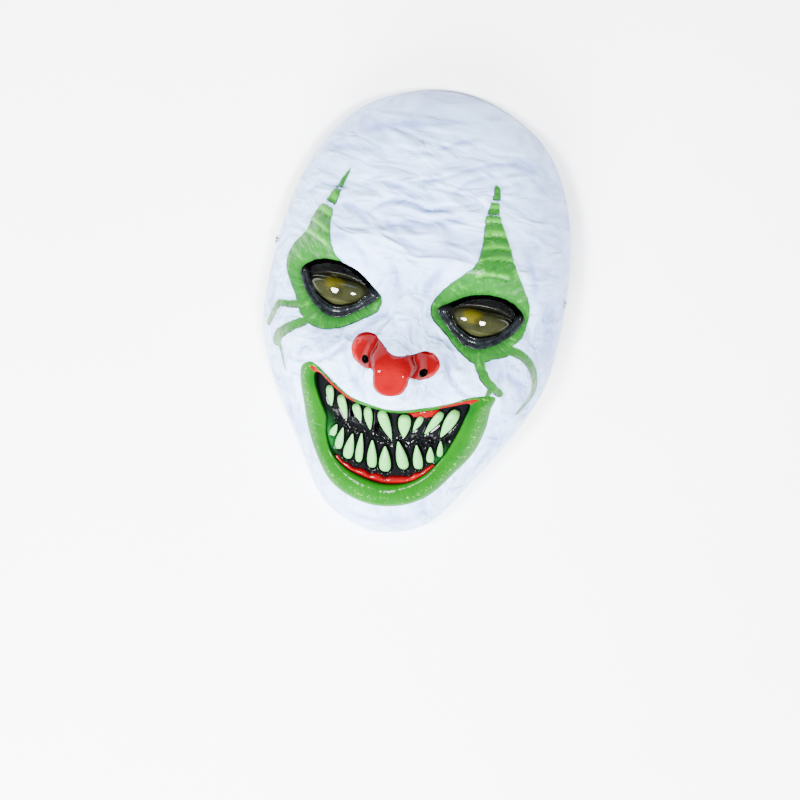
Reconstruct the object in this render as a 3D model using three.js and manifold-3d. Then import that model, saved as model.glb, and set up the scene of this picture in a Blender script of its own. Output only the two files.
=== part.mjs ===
// Demon clown mask: a moulded full-face mask that lies face up on its rim.
// Millimetres. +X is the viewer's right, +Y runs from the chin to the forehead and +Z comes out of
// the face. The origin is the middle of the rim's plane. Left and right are the viewer's.
import * as THREE from 'three';
import { mergeVertices } from 'three/addons/utils/BufferGeometryUtils.js';
import Module from 'manifold-3d';

const wasm = await Module();
wasm.setup();

// Face
const maskWidth = 176;
const maskHeight = 268;
const faceDepth = 64;          // from the rim's plane to the middle of the cheeks' dome
const wall = 1.8;              // moulded wall
const rimArch = 7;             // how far the rim is cut back at the temples
const chinShift = 4;           // the chin stands this far to the right of the forehead
const rimArchFrom = 0.4;       // the arch runs between these cosines of the angle round the rim
const rimArchTo = 0.9;
const foreheadFullness = 2.5;  // power of the dome's section
const chinFullness = 3.7;
const formsFade = 8;           // power of the bulges' fading out at the rim
const fitGap = 0.3;            // between pieces that touch
// Eyes
const eyeSpacing = 84;
const eyeUp = 14.5;            // the eyes' middle above the middle of the face
const eyeWidth = 50;
const eyeHeight = 32;
const browRise = 8;
const lidAbove = 2.6;          // width of the lid over the eye
const lidBelow = 6.2;          // and under it
const lidRoll = 1.8;
const lidSkirt = 3.2;
const slitHeight = 5.8;        // see-through slit over the eyeball
const eyeballTuck = 1.5;       // how far the eyeball runs in behind the lid
const eyeballRise = 9;
// Nose
const noseWidth = 53;
const noseHeight = 31;
const noseDown = 18;           // the nose's middle below the middle of the face
const noseRise = 21;
const nostrilSize = 4.6;
// Mouth
const mouthWidth = 114;
const mouthHeight = 80;
const mouthDown = 66.5;
const mouthShift = 3.5;        // the grin is pulled to the right
const muzzleRise = 11;
const lipRoll = 2.6;
const gumSink = 4;             // how far the gums lie under the face's plain dome
const gumBulge = 9;            // and how far they bulge behind the upper teeth
const gumWidth = 4;
const gumRise = 5;
const toothWidth = 6.8;        // widest tooth
const toothThickness = 0.8;    // of a tooth's own width
const toothLift = 1.5;         // how far a tip leans out of the mouth
const airHoleWidth = 3.5;
const airHoleHeight = 6;
// Strap
const strapWidth = 8;
const strapThickness = 1.2;
const strapUp = 28;            // above the middle of the face
const strapBend = 4;
const strapRest = 0.3;         // the strap's underside above the surface that it lies on
const rivetUp = 14;            // the rivets' height above the rim's plane
const rivetHead = 6;
const rivetShank = 3;
const rivetCap = 1;
const rivetCapWide = 0.85;     // shares of the head's width
const rivetFlatWide = 0.7;

// Facets
const shellSpokes = 60;
const shellRings = 16;
const mouthSpokes = 52;
const gumRings = 6;
const eyeSpokes = 24;
const eyeRings = 3;
const noseSpokes = 36;
const noseRings = 5;
const toothSides = 7;
const holeSides = 10;
const bendSides = 3;
const rivetSides = 12;
const outlineSamples = 360;
const bisections = 40;
const cutReach = maskHeight;   // cutters run this far above and below what they cut

function table(columns, lines) {
  const names = columns.split(' ');
  return lines.map((line) => Object.fromEntries(names.map((name, i) => [name, line[i]])));
}

// A place on the face: its middle, and the half sizes that the shares in the tables below follow.
const places = {
  face: { x: 0, y: 0, halfWidth: maskWidth / 2, halfHeight: maskHeight / 2, rise: faceDepth },
  eye: { x: eyeSpacing / 2, y: eyeUp, halfWidth: eyeWidth / 2, halfHeight: eyeHeight / 2, rise: browRise },
  nose: { x: 0, y: -noseDown, halfWidth: noseWidth / 2, halfHeight: noseHeight / 2, rise: noseRise },
  mouth: {
    x: mouthShift, y: -mouthDown, halfWidth: mouthWidth / 2, halfHeight: mouthHeight / 2, rise: muzzleRise,
  },
};

// Right half of the mask's edge, from the forehead to the chin
const faceEdge = table('up out', [
  [1, 0], [0.975, 0.26], [0.88, 0.57], [0.765, 0.74], [0.56, 0.895], [0.32, 0.975], [0.05, 1],
  [-0.1, 0.995], [-0.2, 0.97], [-0.37, 0.87], [-0.54, 0.73], [-0.69, 0.595], [-0.81, 0.485],
  [-0.895, 0.39], [-0.95, 0.275], [-0.985, 0.14], [-1, 0],
]);

// Bulges and dents on the dome. Sharp forms have steeper sides.
const forms = table('name on out up wide tall rise sharp pair', [
  ['temple', 'face', 0.84, 0.39, 0.11, 0.19, -0.05, 1, true],
  ['frown', 'face', 0, 0.2, 0.14, 0.17, 0.09, 1, false],
  ['chin', 'face', 0.02, -0.82, 0.27, 0.1, 0.14, 1, false],
  ['brow', 'eye', -0.12, 1.94, 0.8, 0.56, 1, 1, true],
  ['socket', 'eye', 0, 0.19, 0.76, 0.69, -1.1, 1, true],
  ['cheek', 'eye', 0.12, -2.3, 0.72, 0.81, 1.1, 1, true],
  ['bridge', 'nose', 0, 1.06, 0.41, 0.9, 0.57, 1, false],
  ['tip', 'nose', 0.04, -0.42, 0.45, 0.84, 1, 1.6, false],
  ['wing', 'nose', 0.7, 0.22, 0.36, 0.58, 0.36, 1.6, true],
  ['muzzle', 'mouth', -0.06, 0.68, 0.56, 0.33, 1, 1, false],
]);

const noseEdge = table('out up', [
  [0.98, 0.36], [0.87, 0.65], [0.64, 0.81], [0.41, 0.68], [0.19, 0.61], [-0.15, 0.65], [-0.34, 0.81],
  [-0.57, 1], [-0.81, 0.94], [-0.98, 0.68], [-1, 0.36], [-0.87, -0.06], [-0.64, -0.23],
  [-0.42, -0.16], [-0.36, -0.42], [-0.3, -0.81], [-0.11, -1], [0.15, -0.97], [0.36, -0.81],
  [0.45, -0.42], [0.49, -0.1], [0.64, -0.23], [0.83, -0.1], [0.96, 0.16],
]);
const noseSpokesUp = 0.35;     // the spokes of the nose's facets meet here, in half heights
const nostrils = table('out up', [[-0.6, 0.1], [0.68, 0.08]]);

const lipOuterEdge = table('out up', [
  [1, 1], [0.76, 0.97], [0.6, 0.85], [0.38, 0.72], [0.11, 0.62], [-0.13, 0.6], [-0.41, 0.61],
  [-0.62, 0.75], [-0.8, 0.92], [-0.9, 0.96], [-0.99, 0.85], [-0.99, 0.65], [-0.92, 0.28],
  [-0.83, -0.12], [-0.69, -0.5], [-0.5, -0.81], [-0.24, -0.96], [0.04, -0.99], [0.32, -0.91],
  [0.55, -0.71], [0.75, -0.32], [0.9, 0.05], [0.97, 0.48], [0.98, 0.8],
]);
const lipInnerEdge = table('out up', [
  [0.76, 0.86], [0.6, 0.79], [0.38, 0.66], [0.11, 0.56], [-0.13, 0.54], [-0.41, 0.55],
  [-0.62, 0.69], [-0.76, 0.82], [-0.83, 0.82], [-0.82, 0.65], [-0.74, 0.4], [-0.65, 0.17],
  [-0.62, -0.1], [-0.54, -0.35], [-0.38, -0.53], [-0.15, -0.62], [0.08, -0.64], [0.31, -0.55],
  [0.48, -0.35], [0.6, -0.07], [0.68, 0.25], [0.74, 0.6],
]);
const lidOuterEdge = table('out up', [
  [-1, 0.19], [-0.75, 0.47], [-0.43, 0.78], [-0.08, 0.97], [0.28, 1], [0.59, 0.87], [0.83, 0.62],
  [0.99, 0.28], [0.89, -0.12], [0.67, -0.5], [0.4, -0.81], [0.08, -1], [-0.24, -0.94],
  [-0.51, -0.69], [-0.79, -0.31], [-0.95, -0.03],
]);

// Sections of the rolled lips and lids, from the outer edge to the opening
const rollSection = table('across lift back', [
  [0, 0, true], [0.18, 0.7, false], [0.45, 1, true], [0.75, 0.85, false], [0.93, 0.35, false],
  [1, -0.3, true],
]);

// Teeth, in shares of half the mouth, widths in shares of the widest tooth
const upperTeeth = table('baseOut baseUp tipOut tipUp width', [
  [-0.67, 0.66, -0.61, 0.35, 0.7], [-0.54, 0.57, -0.43, 0.22, 0.76], [-0.37, 0.5, -0.28, 0.24, 0.74],
  [-0.24, 0.5, -0.17, 0.15, 0.72], [-0.1, 0.5, 0.06, 0.08, 0.92], [0.15, 0.52, 0.18, 0.14, 1.05],
  [0.32, 0.53, 0.26, 0.28, 0.56], [0.51, 0.65, 0.38, 0.26, 0.72], [0.65, 0.72, 0.54, 0.25, 0.98],
]);
const lowerTeeth = table('baseOut baseUp tipOut tipUp width', [
  [-0.56, -0.12, -0.52, 0.09, 0.6], [-0.47, -0.3, -0.45, 0.07, 0.7], [-0.355, -0.41, -0.34, 0.02, 0.86],
  [-0.23, -0.42, -0.25, 0.07, 0.66], [-0.08, -0.45, -0.13, 0, 0.84], [0.06, -0.46, 0.01, -0.05, 1],
  [0.25, -0.36, 0.13, 0.07, 0.96], [0.39, -0.32, 0.32, 0.07, 0.8], [0.49, -0.19, 0.46, 0.07, 0.64],
  [0.57, -0.08, 0.55, 0.19, 0.5],
]);
const toothSections = table('along wide', [
  [0, 0.62], [0.14, 0.94], [0.4, 1], [0.65, 0.76], [0.87, 0.36],
]);
const airHoles = table('out up', [[-0.38, 0.35], [-0.11, 0.22]]);
const gumSection = table('across lift', [
  [0, 0], [0, 0.6], [0.3, 1], [0.7, 0.8], [1, 0.3], [1, 0],
]);
const gumBulgeWide = 0.7;      // shares of half the mouth's width and height
const gumBulgeTall = 0.45;
const gumBulgeUp = 0.68;
const gumFromAngle = -2.6;     // round the mouth, in radians
const gumToAngle = -0.28;
const gumTaper = 0.08;         // share of its length that is left off at each thin end
const gumStations = 18;

function outlineOf(edge, place) {
  const points = edge.map((row) => new THREE.Vector3(
    place.x + row.out * place.halfWidth,
    place.y + row.up * place.halfHeight,
    0,
  ));
  return new THREE.CatmullRomCurve3(points, true, 'centripetal').getPoints(outlineSamples);
}

// Distance from a centre to a closed outline, as a function of the angle
function reachFrom(centre, outline) {
  const samples = outline.map((point) => ({
    angle: Math.atan2(point.y - centre.y, point.x - centre.x),
    reach: Math.hypot(point.x - centre.x, point.y - centre.y),
  }));
  samples.sort((a, b) => a.angle - b.angle);
  const last = samples[samples.length - 1];
  const first = samples[0];
  samples.unshift({ angle: last.angle - 2 * Math.PI, reach: last.reach });
  samples.push({ angle: first.angle + 2 * Math.PI, reach: first.reach });
  return (angle) => {
    const turned = Math.atan2(Math.sin(angle), Math.cos(angle));
    const next = samples.findIndex((sample) => sample.angle > turned);
    const before = samples[next - 1];
    const after = samples[next];
    const share = (turned - before.angle) / (after.angle - before.angle);
    return THREE.MathUtils.lerp(before.reach, after.reach, share);
  };
}

function shiftAt(y) {
  return chinShift * THREE.MathUtils.smoothstep(-y / (maskHeight / 2), 0, 1);
}

function mirrored(edge) {
  return edge.slice(1, -1).reverse().map((row) => ({ up: row.up, out: -row.out }));
}

const faceReach = reachFrom(places.face, outlineOf([...faceEdge, ...mirrored(faceEdge)], places.face));

// Height of the rim over its plane: flat at the forehead and chin, cut back at the temples
function rimHeight(angle) {
  return rimArch * THREE.MathUtils.smoothstep(Math.abs(Math.cos(angle)), rimArchFrom, rimArchTo);
}

// The face's dome is fuller at the chin than at the forehead.
function fullness(y) {
  const down = THREE.MathUtils.smoothstep(0.5 - y / maskHeight, 0, 1);
  return THREE.MathUtils.lerp(foreheadFullness, chinFullness, down);
}

function domeHeight(share, angle, y, depth) {
  const rim = rimHeight(angle);
  const left = Math.max(0, 1 - share ** fullness(y));
  return rim + (depth - rim) * Math.sqrt(left);
}

function formsHeight(x, y) {
  let height = 0;
  for (const form of forms) {
    const place = places[form.on];
    const sides = form.pair ? [1, -1] : [1];
    for (const side of sides) {
      const across = (x - side * (place.x + form.out * place.halfWidth)) / (form.wide * place.halfWidth);
      const along = (y - place.y - form.up * place.halfHeight) / (form.tall * place.halfHeight);
      height += form.rise * place.rise * Math.exp(-(((across ** 2 + along ** 2) / 2) ** form.sharp));
    }
  }
  return height;
}

// Outer surface of the face at a point, or with a thickness the inner surface under it
function faceAt(share, angle, thickness) {
  const reach = share * faceReach(angle);
  const y = reach * Math.sin(angle);
  const x = reach * Math.cos(angle) + shiftAt(y);
  const fade = 1 - share ** formsFade;
  const z = domeHeight(share, angle, y, faceDepth - thickness) + fade * formsHeight(x, y);
  const inset = thickness * share;
  return new THREE.Vector3(x - inset * Math.cos(angle), y - inset * Math.sin(angle), z);
}

function shareAt(x, y) {
  const across = x - shiftAt(y);
  const angle = Math.atan2(y, across);
  return { angle, share: Math.min(1, Math.hypot(across, y) / faceReach(angle)) };
}

// The dome alone, without its bulges and dents
function plainHeight(x, y) {
  const { share, angle } = shareAt(x, y);
  return domeHeight(share, angle, y, faceDepth);
}

function faceHeight(x, y, thickness = 0) {
  const { share, angle } = shareAt(x, y);
  const fade = 1 - share ** formsFade;
  return domeHeight(share, angle, y, faceDepth - thickness) + fade * formsHeight(x, y);
}

function angles(count) {
  return Array.from({ length: count }, (_, i) => (2 * Math.PI * (i + 0.5)) / count - Math.PI);
}

// Closed skin over rings of points. A ring of one point is a pole. A loop joins the last ring to the
// first. Faces are turned to point out.
function skin(rings, loop) {
  const positions = [];
  const starts = [];
  for (const ring of rings) {
    starts.push(positions.length / 3);
    for (const point of ring) {
      positions.push(point.x, point.y, point.z);
    }
  }
  const faces = [];
  const pairs = loop ? rings.length : rings.length - 1;
  for (let i = 0; i < pairs; i += 1) {
    const j = (i + 1) % rings.length;
    const count = Math.max(rings[i].length, rings[j].length);
    for (let k = 0; k < count; k += 1) {
      const next = (k + 1) % count;
      const a = starts[i] + (rings[i].length > 1 ? k : 0);
      const b = starts[i] + (rings[i].length > 1 ? next : 0);
      const c = starts[j] + (rings[j].length > 1 ? next : 0);
      const d = starts[j] + (rings[j].length > 1 ? k : 0);
      if (a !== b) {
        faces.push([a, b, c]);
      }
      if (c !== d) {
        faces.push([a, c, d]);
      }
    }
  }
  const at = (i) => new THREE.Vector3(positions[3 * i], positions[3 * i + 1], positions[3 * i + 2]);
  const volume = faces.reduce((sum, [a, b, c]) => sum + at(a).dot(at(b).cross(at(c))), 0);
  const index = faces.flatMap(([a, b, c]) => (volume > 0 ? [a, b, c] : [a, c, b]));
  const geometry = new THREE.BufferGeometry();
  geometry.setAttribute('position', new THREE.Float32BufferAttribute(positions, 3));
  geometry.setIndex(index);
  geometry.computeVertexNormals();
  return geometry;
}

function solidOf(geometry) {
  const bare = geometry.clone();
  bare.deleteAttribute('normal');
  bare.deleteAttribute('uv');
  const merged = mergeVertices(bare);
  return new wasm.Manifold(new wasm.Mesh({
    numProp: 3,
    vertProperties: new Float32Array(merged.attributes.position.array),
    triVerts: new Uint32Array(merged.index.array),
  }));
}

function cut(geometry, cutters) {
  const solid = cutters.reduce((left, cutter) => left.subtract(solidOf(cutter)), solidOf(geometry));
  const mesh = solid.getMesh();
  const result = new THREE.BufferGeometry();
  result.setAttribute('position', new THREE.BufferAttribute(mesh.vertProperties, 3));
  result.setIndex(new THREE.BufferAttribute(mesh.triVerts, 1));
  result.computeVertexNormals();
  return result;
}

// Prism along Z through everything inside a closed outline
function prism(points) {
  const shape = new THREE.Shape(points.map((point) => new THREE.Vector2(point.x, point.y)));
  const geometry = new THREE.ExtrudeGeometry(shape, { depth: 2 * cutReach, bevelEnabled: false });
  geometry.translate(0, 0, -cutReach);
  return geometry;
}

function onSpoke(centre, angle, reach) {
  return new THREE.Vector2(centre.x + reach * Math.cos(angle), centre.y + reach * Math.sin(angle));
}

function openingAround(centre, reach, spokes) {
  return prism(angles(spokes).map((angle) => onSpoke(centre, angle, reach(angle) + fitGap)));
}

// A curved plate inside an outline, between two heights given as functions of x and y
function plate(centre, reach, spokes, rings, top, bottom) {
  const ringAt = (share, height) => (share === 0 ? [0] : angles(spokes)).map((angle) => {
    const point = onSpoke(centre, angle, share * reach(angle));
    return new THREE.Vector3(point.x, point.y, height(point.x, point.y));
  });
  const shares = Array.from({ length: rings + 1 }, (_, i) => i / rings);
  const over = shares.map((share) => ringAt(share, top));
  const under = shares.map((share) => ringAt(share, bottom)).reverse();
  return skin([...over, ...under], false);
}

// A rolled band between two outlines, with a skirt that hangs down to a floor at the opening
function rolledBand(centre, outer, inner, spokes, roll, floor) {
  const stations = angles(spokes);
  const widest = Math.max(...stations.map((angle) => outer(angle) - inner(angle)));
  const back = (angle) => inner(angle) + wall;
  const rollRing = (row, edge, drop) => stations.map((angle) => {
    const point = onSpoke(centre, angle, THREE.MathUtils.lerp(outer(angle), edge(angle), row.across));
    const lift = (row.lift * roll * (outer(angle) - inner(angle))) / widest;
    return new THREE.Vector3(point.x, point.y, faceHeight(point.x, point.y) + lift - drop);
  });
  const floorRing = (edge) => stations.map((angle) => {
    const point = onSpoke(centre, angle, edge(angle));
    return new THREE.Vector3(point.x, point.y, floor(point.x, point.y));
  });
  const over = rollSection.map((row) => rollRing(row, inner, 0));
  const under = rollSection.filter((row) => row.back).map((row) => rollRing(row, back, wall)).reverse();
  return skin([...over, floorRing(inner), floorRing(back), ...under], true);
}

const noseCentre = { x: places.nose.x, y: places.nose.y + noseSpokesUp * places.nose.halfHeight };
const noseReach = reachFrom(noseCentre, outlineOf(noseEdge, places.nose));
const lipOuter = reachFrom(places.mouth, outlineOf(lipOuterEdge, places.mouth));
const lipInner = reachFrom(places.mouth, outlineOf(lipInnerEdge, places.mouth));
const lidOuter = reachFrom(places.eye, outlineOf(lidOuterEdge, places.eye));

function lidInner(angle) {
  return lidOuter(angle) - THREE.MathUtils.lerp(lidBelow, lidAbove, (1 + Math.sin(angle)) / 2);
}

function lidFloor(x, y) {
  return faceHeight(x, y) - lidSkirt;
}

// The eyeball's lower edge runs in behind the lid, and its free upper edge is half an ellipse.
function eyeballReach(angle) {
  const tucked = lidInner(angle) + eyeballTuck;
  const half = Math.min(lidInner(0), lidInner(Math.PI)) + eyeballTuck;
  const top = eyeHeight / 2 - lidAbove - slitHeight;
  const free = 1 / Math.hypot(Math.cos(angle) / half, Math.sin(angle) / top);
  return Math.sin(angle) > 0 ? Math.min(tucked, free) : tucked;
}

// The gums lie under the face's plain dome and bulge behind the upper teeth.
function gumTop(x, y) {
  const mouth = places.mouth;
  const across = (x - mouth.x) / (gumBulgeWide * mouth.halfWidth);
  const along = (y - mouth.y - gumBulgeUp * mouth.halfHeight) / (gumBulgeTall * mouth.halfHeight);
  return plainHeight(x, y) - gumSink + gumBulge * Math.exp(-(across ** 2 + along ** 2) / 2);
}

function gumSeat(x, y) {
  return gumTop(x, y) + fitGap;
}

function faceShell() {
  const shares = Array.from({ length: shellRings + 1 }, (_, i) => Math.sin((i * Math.PI) / 2 / shellRings));
  const ringAt = (share, thickness) => {
    const spokes = share === 0 ? [0] : angles(shellSpokes);
    return spokes.map((angle) => faceAt(share, angle, thickness));
  };
  const outer = shares.map((share) => ringAt(share, 0));
  const inner = shares.map((share) => ringAt(share, wall)).reverse();
  const eye = openingAround(places.eye, lidOuter, eyeSpokes);
  return cut(skin([...outer, ...inner], false), [
    openingAround(noseCentre, noseReach, noseSpokes),
    openingAround(places.mouth, lipOuter, mouthSpokes),
    eye,
    mirrorImage(eye),
    rivetHole(1),
    rivetHole(-1),
  ]);
}

// Mirror image in the plane between the eyes, with its faces turned out again
function mirrorImage(geometry) {
  const source = geometry.index ? geometry.toNonIndexed() : geometry;
  const position = source.attributes.position;
  const points = [];
  for (let i = 0; i < position.count; i += 3) {
    for (const j of [i, i + 2, i + 1]) {
      points.push(-position.getX(j), position.getY(j), position.getZ(j));
    }
  }
  const flipped = new THREE.BufferGeometry();
  flipped.setAttribute('position', new THREE.Float32BufferAttribute(points, 3));
  const merged = mergeVertices(flipped);
  merged.computeVertexNormals();
  return merged;
}

// Round or oval hole along Z
function drill(x, y, width, height) {
  const hole = new THREE.CylinderGeometry(0.5, 0.5, 2 * cutReach, holeSides);
  hole.rotateX(Math.PI / 2);
  hole.scale(width, height, 1);
  hole.translate(x, y, 0);
  return hole;
}

function noseSolid() {
  const under = (x, y) => faceHeight(x, y) - wall;
  const body = plate(noseCentre, noseReach, noseSpokes, noseRings, faceHeight, under);
  const { x, y, halfWidth, halfHeight } = places.nose;
  return cut(body, nostrils.map((row) => (
    drill(x + row.out * halfWidth, y + row.up * halfHeight, nostrilSize, nostrilSize)
  )));
}

function gumsSolid() {
  const reach = (angle) => lipInner(angle) + wall;
  const under = (x, y) => gumTop(x, y) - wall;
  const body = plate(places.mouth, reach, mouthSpokes, gumRings, gumTop, under);
  const { x, y, halfWidth, halfHeight } = places.mouth;
  return cut(body, airHoles.map((row) => (
    drill(x + row.out * halfWidth, y + row.up * halfHeight, airHoleWidth, airHoleHeight)
  )));
}

function middleOf(ring) {
  return ring.reduce((sum, point) => sum.add(point), new THREE.Vector3()).divideScalar(ring.length);
}

// A roll along the lower lip's skirt, thinner at its ends
function lowerGum() {
  const rings = Array.from({ length: gumStations + 1 }, (_, i) => {
    const along = i / gumStations;
    const angle = THREE.MathUtils.lerp(gumFromAngle, gumToAngle, along);
    const swell = Math.sqrt(Math.sin(Math.PI * THREE.MathUtils.lerp(gumTaper, 1 - gumTaper, along)));
    return gumSection.map((row) => {
      const reach = lipInner(angle) - fitGap - row.across * gumWidth * swell;
      const point = onSpoke(places.mouth, angle, reach);
      const height = gumSeat(point.x, point.y) + row.lift * gumRise * swell;
      return new THREE.Vector3(point.x, point.y, height);
    });
  });
  return skin([[middleOf(rings[0])], ...rings, [middleOf(rings[gumStations])]], false);
}

// A fang that lies along the gums, with a round back and a flat seat
function tooth(row) {
  const { x, y, halfWidth, halfHeight } = places.mouth;
  const base = new THREE.Vector2(x + row.baseOut * halfWidth, y + row.baseUp * halfHeight);
  const tip = new THREE.Vector2(x + row.tipOut * halfWidth, y + row.tipUp * halfHeight);
  const side = tip.clone().sub(base).normalize().rotateAround(new THREE.Vector2(), Math.PI / 2);
  const pointAt = (along, across, lift) => {
    const at = base.clone().lerp(tip, along).addScaledVector(side, across);
    return new THREE.Vector3(at.x, at.y, gumSeat(at.x, at.y) + toothLift * along ** 2 + lift);
  };
  const halfAt = (section) => (section.wide * row.width * toothWidth) / 2;
  const rings = toothSections.map((section) => Array.from({ length: toothSides }, (_, i) => {
    const turn = (2 * Math.PI * i) / toothSides;
    const lift = halfAt(section) * toothThickness * (1 + Math.cos(turn));
    return pointAt(section.along, halfAt(section) * Math.sin(turn), lift);
  }));
  const root = pointAt(0, 0, halfAt(toothSections[0]) * toothThickness);
  return skin([[root], ...rings, [pointAt(1, 0, 0)]], false);
}

// A dome with a flange that runs in behind the lid. Its upper edge is free.
function eyeball() {
  const flange = eyeballTuck + fitGap;
  const ringAt = (share, width, drop) => {
    const stations = share === 0 ? [0] : angles(eyeSpokes);
    return stations.map((angle) => {
      const reach = share * (eyeballReach(angle) - flange) + width;
      const point = onSpoke(places.eye, angle, reach);
      const rise = eyeballRise * Math.sqrt(1 - share ** 2);
      return new THREE.Vector3(point.x, point.y, lidFloor(point.x, point.y) - fitGap + rise - drop);
    });
  };
  const shares = Array.from({ length: eyeRings + 1 }, (_, i) => Math.sin((i * Math.PI) / 2 / eyeRings));
  const over = shares.map((share) => ringAt(share, 0, 0));
  const under = shares.map((share) => ringAt(share, 0, wall)).reverse();
  return skin([...over, ringAt(1, flange, 0), ringAt(1, flange, wall), ...under], false);
}

function eyelid() {
  return rolledBand(places.eye, lidOuter, lidInner, eyeSpokes, lidRoll, lidFloor);
}

// How far out the face's wall stands at a height over the rim's plane
function wallReach(y, height, thickness) {
  let inside = 0;
  let outside = maskWidth / 2;
  for (let step = 0; step < bisections; step += 1) {
    const middle = (inside + outside) / 2;
    if (faceHeight(middle, y, thickness) > height) {
      inside = middle;
    } else {
      outside = middle;
    }
  }
  return inside - thickness;
}

function rivetHole(side) {
  const radius = rivetShank / 2 + fitGap;
  const hole = new THREE.CylinderGeometry(radius, radius, maskWidth / 2, holeSides);
  hole.rotateZ(Math.PI / 2);
  hole.translate((side * maskWidth) / 2, strapUp, rivetUp);
  return hole;
}

// A band whose ends stand against the walls and whose middle lies flat under the mask
function strap() {
  const steps = Array.from({ length: bendSides + 1 }, (_, i) => i / bendSides);
  const corner = (reach, low, bend) => [[reach, strapTop], ...steps.map((step) => {
    const turn = (step * Math.PI) / 2;
    return [reach - bend * (1 - Math.cos(turn)), low + bend * (1 - Math.sin(turn))];
  })];
  const otherSide = (points) => points.map(([x, z]) => [-x, z]);
  const thick = strapThickness;
  const outside = corner(strapReach, strapRest, strapBend);
  const inside = corner(strapReach - thick, strapRest + thick, strapBend - thick);
  const ribbon = [...outside, ...otherSide(outside).reverse(), ...otherSide(inside), ...inside.reverse()];
  const shape = new THREE.Shape(ribbon.map(([x, z]) => new THREE.Vector2(x, z)));
  const band = new THREE.ExtrudeGeometry(shape, { depth: strapWidth, bevelEnabled: false });
  band.rotateX(Math.PI / 2);
  band.translate(0, strapUp + strapWidth / 2, 0);
  return cut(band, [rivetHole(1), rivetHole(-1)]);
}

// A rivet on the right: its head is outside the wall and its cap holds the band inside
function rivet() {
  const outside = wallReach(strapUp - rivetHead / 2, rivetUp - rivetHead / 2, 0) + fitGap;
  const inside = strapReach - strapThickness - fitGap;
  const head = rivetHead / 2;
  const profile = [
    [0, inside - rivetCap], [rivetCapWide * head, inside - rivetCap], [rivetCapWide * head, inside],
    [rivetShank / 2, inside], [rivetShank / 2, outside],
    [head, outside], [rivetFlatWide * head, outside + rivetCap], [0, outside + rivetCap],
  ];
  const body = new THREE.LatheGeometry(profile.map(([r, h]) => new THREE.Vector2(r, h)), rivetSides);
  body.rotateZ(-Math.PI / 2);
  body.translate(0, strapUp, rivetUp);
  return body;
}

const strapTop = rivetUp + strapWidth / 2;
const strapReach = wallReach(strapUp, strapTop, wall) - fitGap;

function material(color, roughness, metalness = 0) {
  return new THREE.MeshStandardMaterial({ color, roughness, metalness });
}

const whiteVinyl = material('#eeeef4', 0.5);
const redPaint = material('#d8323a', 0.2);
const greenPaint = material('#5fb548', 0.4);
const blackPaint = material('#1b1d22', 0.2);
const lidPaint = material('#33373f', 0.25);
const toothPaint = material('#c4e6b6', 0.35);
const olivePlastic = material('#6f6c36', 0.1);
const whiteElastic = material('#d9d9d6', 0.9);
const steel = material('#b8babd', 0.3, 1);

const mask = new THREE.Group();

function add(name, geometry, finish) {
  const mesh = new THREE.Mesh(geometry, finish);
  mesh.name = name;
  mask.add(mesh);
}

add('face_shell', faceShell(), whiteVinyl);
add('nose', noseSolid(), redPaint);
add('lips', rolledBand(places.mouth, lipOuter, lipInner, mouthSpokes, lipRoll, gumSeat), greenPaint);
add('gums', gumsSolid(), blackPaint);
add('lower_gum', lowerGum(), redPaint);
upperTeeth.forEach((row, i) => add(`upper_tooth_${i + 1}`, tooth(row), toothPaint));
lowerTeeth.forEach((row, i) => add(`lower_tooth_${i + 1}`, tooth(row), toothPaint));
add('eyelid_right', eyelid(), lidPaint);
add('eyelid_left', mirrorImage(eyelid()), lidPaint);
add('eyeball_right', eyeball(), olivePlastic);
add('eyeball_left', mirrorImage(eyeball()), olivePlastic);
add('strap', strap(), whiteElastic);
add('rivet_right', rivet(), steel);
add('rivet_left', mirrorImage(rivet()), steel);

export default mask;
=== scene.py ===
"""Looks of a moulded demon clown mask that lies face up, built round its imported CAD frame."""

import math

import bpy
import numpy as np
from bpy.props import FloatProperty, FloatVectorProperty, PointerProperty
from mathutils import Matrix, Vector


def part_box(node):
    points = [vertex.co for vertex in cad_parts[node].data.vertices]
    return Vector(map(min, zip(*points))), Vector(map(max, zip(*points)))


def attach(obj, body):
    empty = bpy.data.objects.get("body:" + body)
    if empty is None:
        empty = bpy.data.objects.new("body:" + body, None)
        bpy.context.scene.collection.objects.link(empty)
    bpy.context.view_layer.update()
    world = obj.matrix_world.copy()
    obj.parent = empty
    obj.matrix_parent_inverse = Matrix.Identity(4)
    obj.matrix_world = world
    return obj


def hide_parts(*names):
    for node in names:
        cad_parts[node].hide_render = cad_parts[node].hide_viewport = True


bl_info = {
    "name": "Demon clown mask",
    "version": (1, 0, 0),
    "blender": (4, 5, 0),
    "location": "View3D > Sidebar > Mask",
    "description": "Builds the pieces of a moulded demon clown mask round its CAD frame",
    "category": "Object",
}

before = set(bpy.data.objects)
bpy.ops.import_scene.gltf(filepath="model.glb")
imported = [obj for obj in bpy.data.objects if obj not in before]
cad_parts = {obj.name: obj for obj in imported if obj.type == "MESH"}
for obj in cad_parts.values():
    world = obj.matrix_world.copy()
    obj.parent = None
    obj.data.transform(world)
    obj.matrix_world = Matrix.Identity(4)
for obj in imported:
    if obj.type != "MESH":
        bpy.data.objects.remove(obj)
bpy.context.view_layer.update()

# Sizes in millimetres, in the part's own frame: +X the viewer's right, +Y up the face, +Z out of it
MM = 0.001
MASK_WIDTH = 176.0
MASK_HEIGHT = 268.0
FACE_DEPTH = 64.0
WALL = 1.8
RIM_ARCH = 7.0
RIM_ARCH_FROM = 0.4
RIM_ARCH_TO = 0.9
CHIN_SHIFT = 4.0
FOREHEAD_FULLNESS = 2.5
CHIN_FULLNESS = 3.7
FORMS_FADE = 8
FIT_GAP = 0.3
LID_ABOVE = 2.6
LID_BELOW = 6.2
LID_SKIRT = 3.2
SLIT_HEIGHT = 5.8
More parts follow.
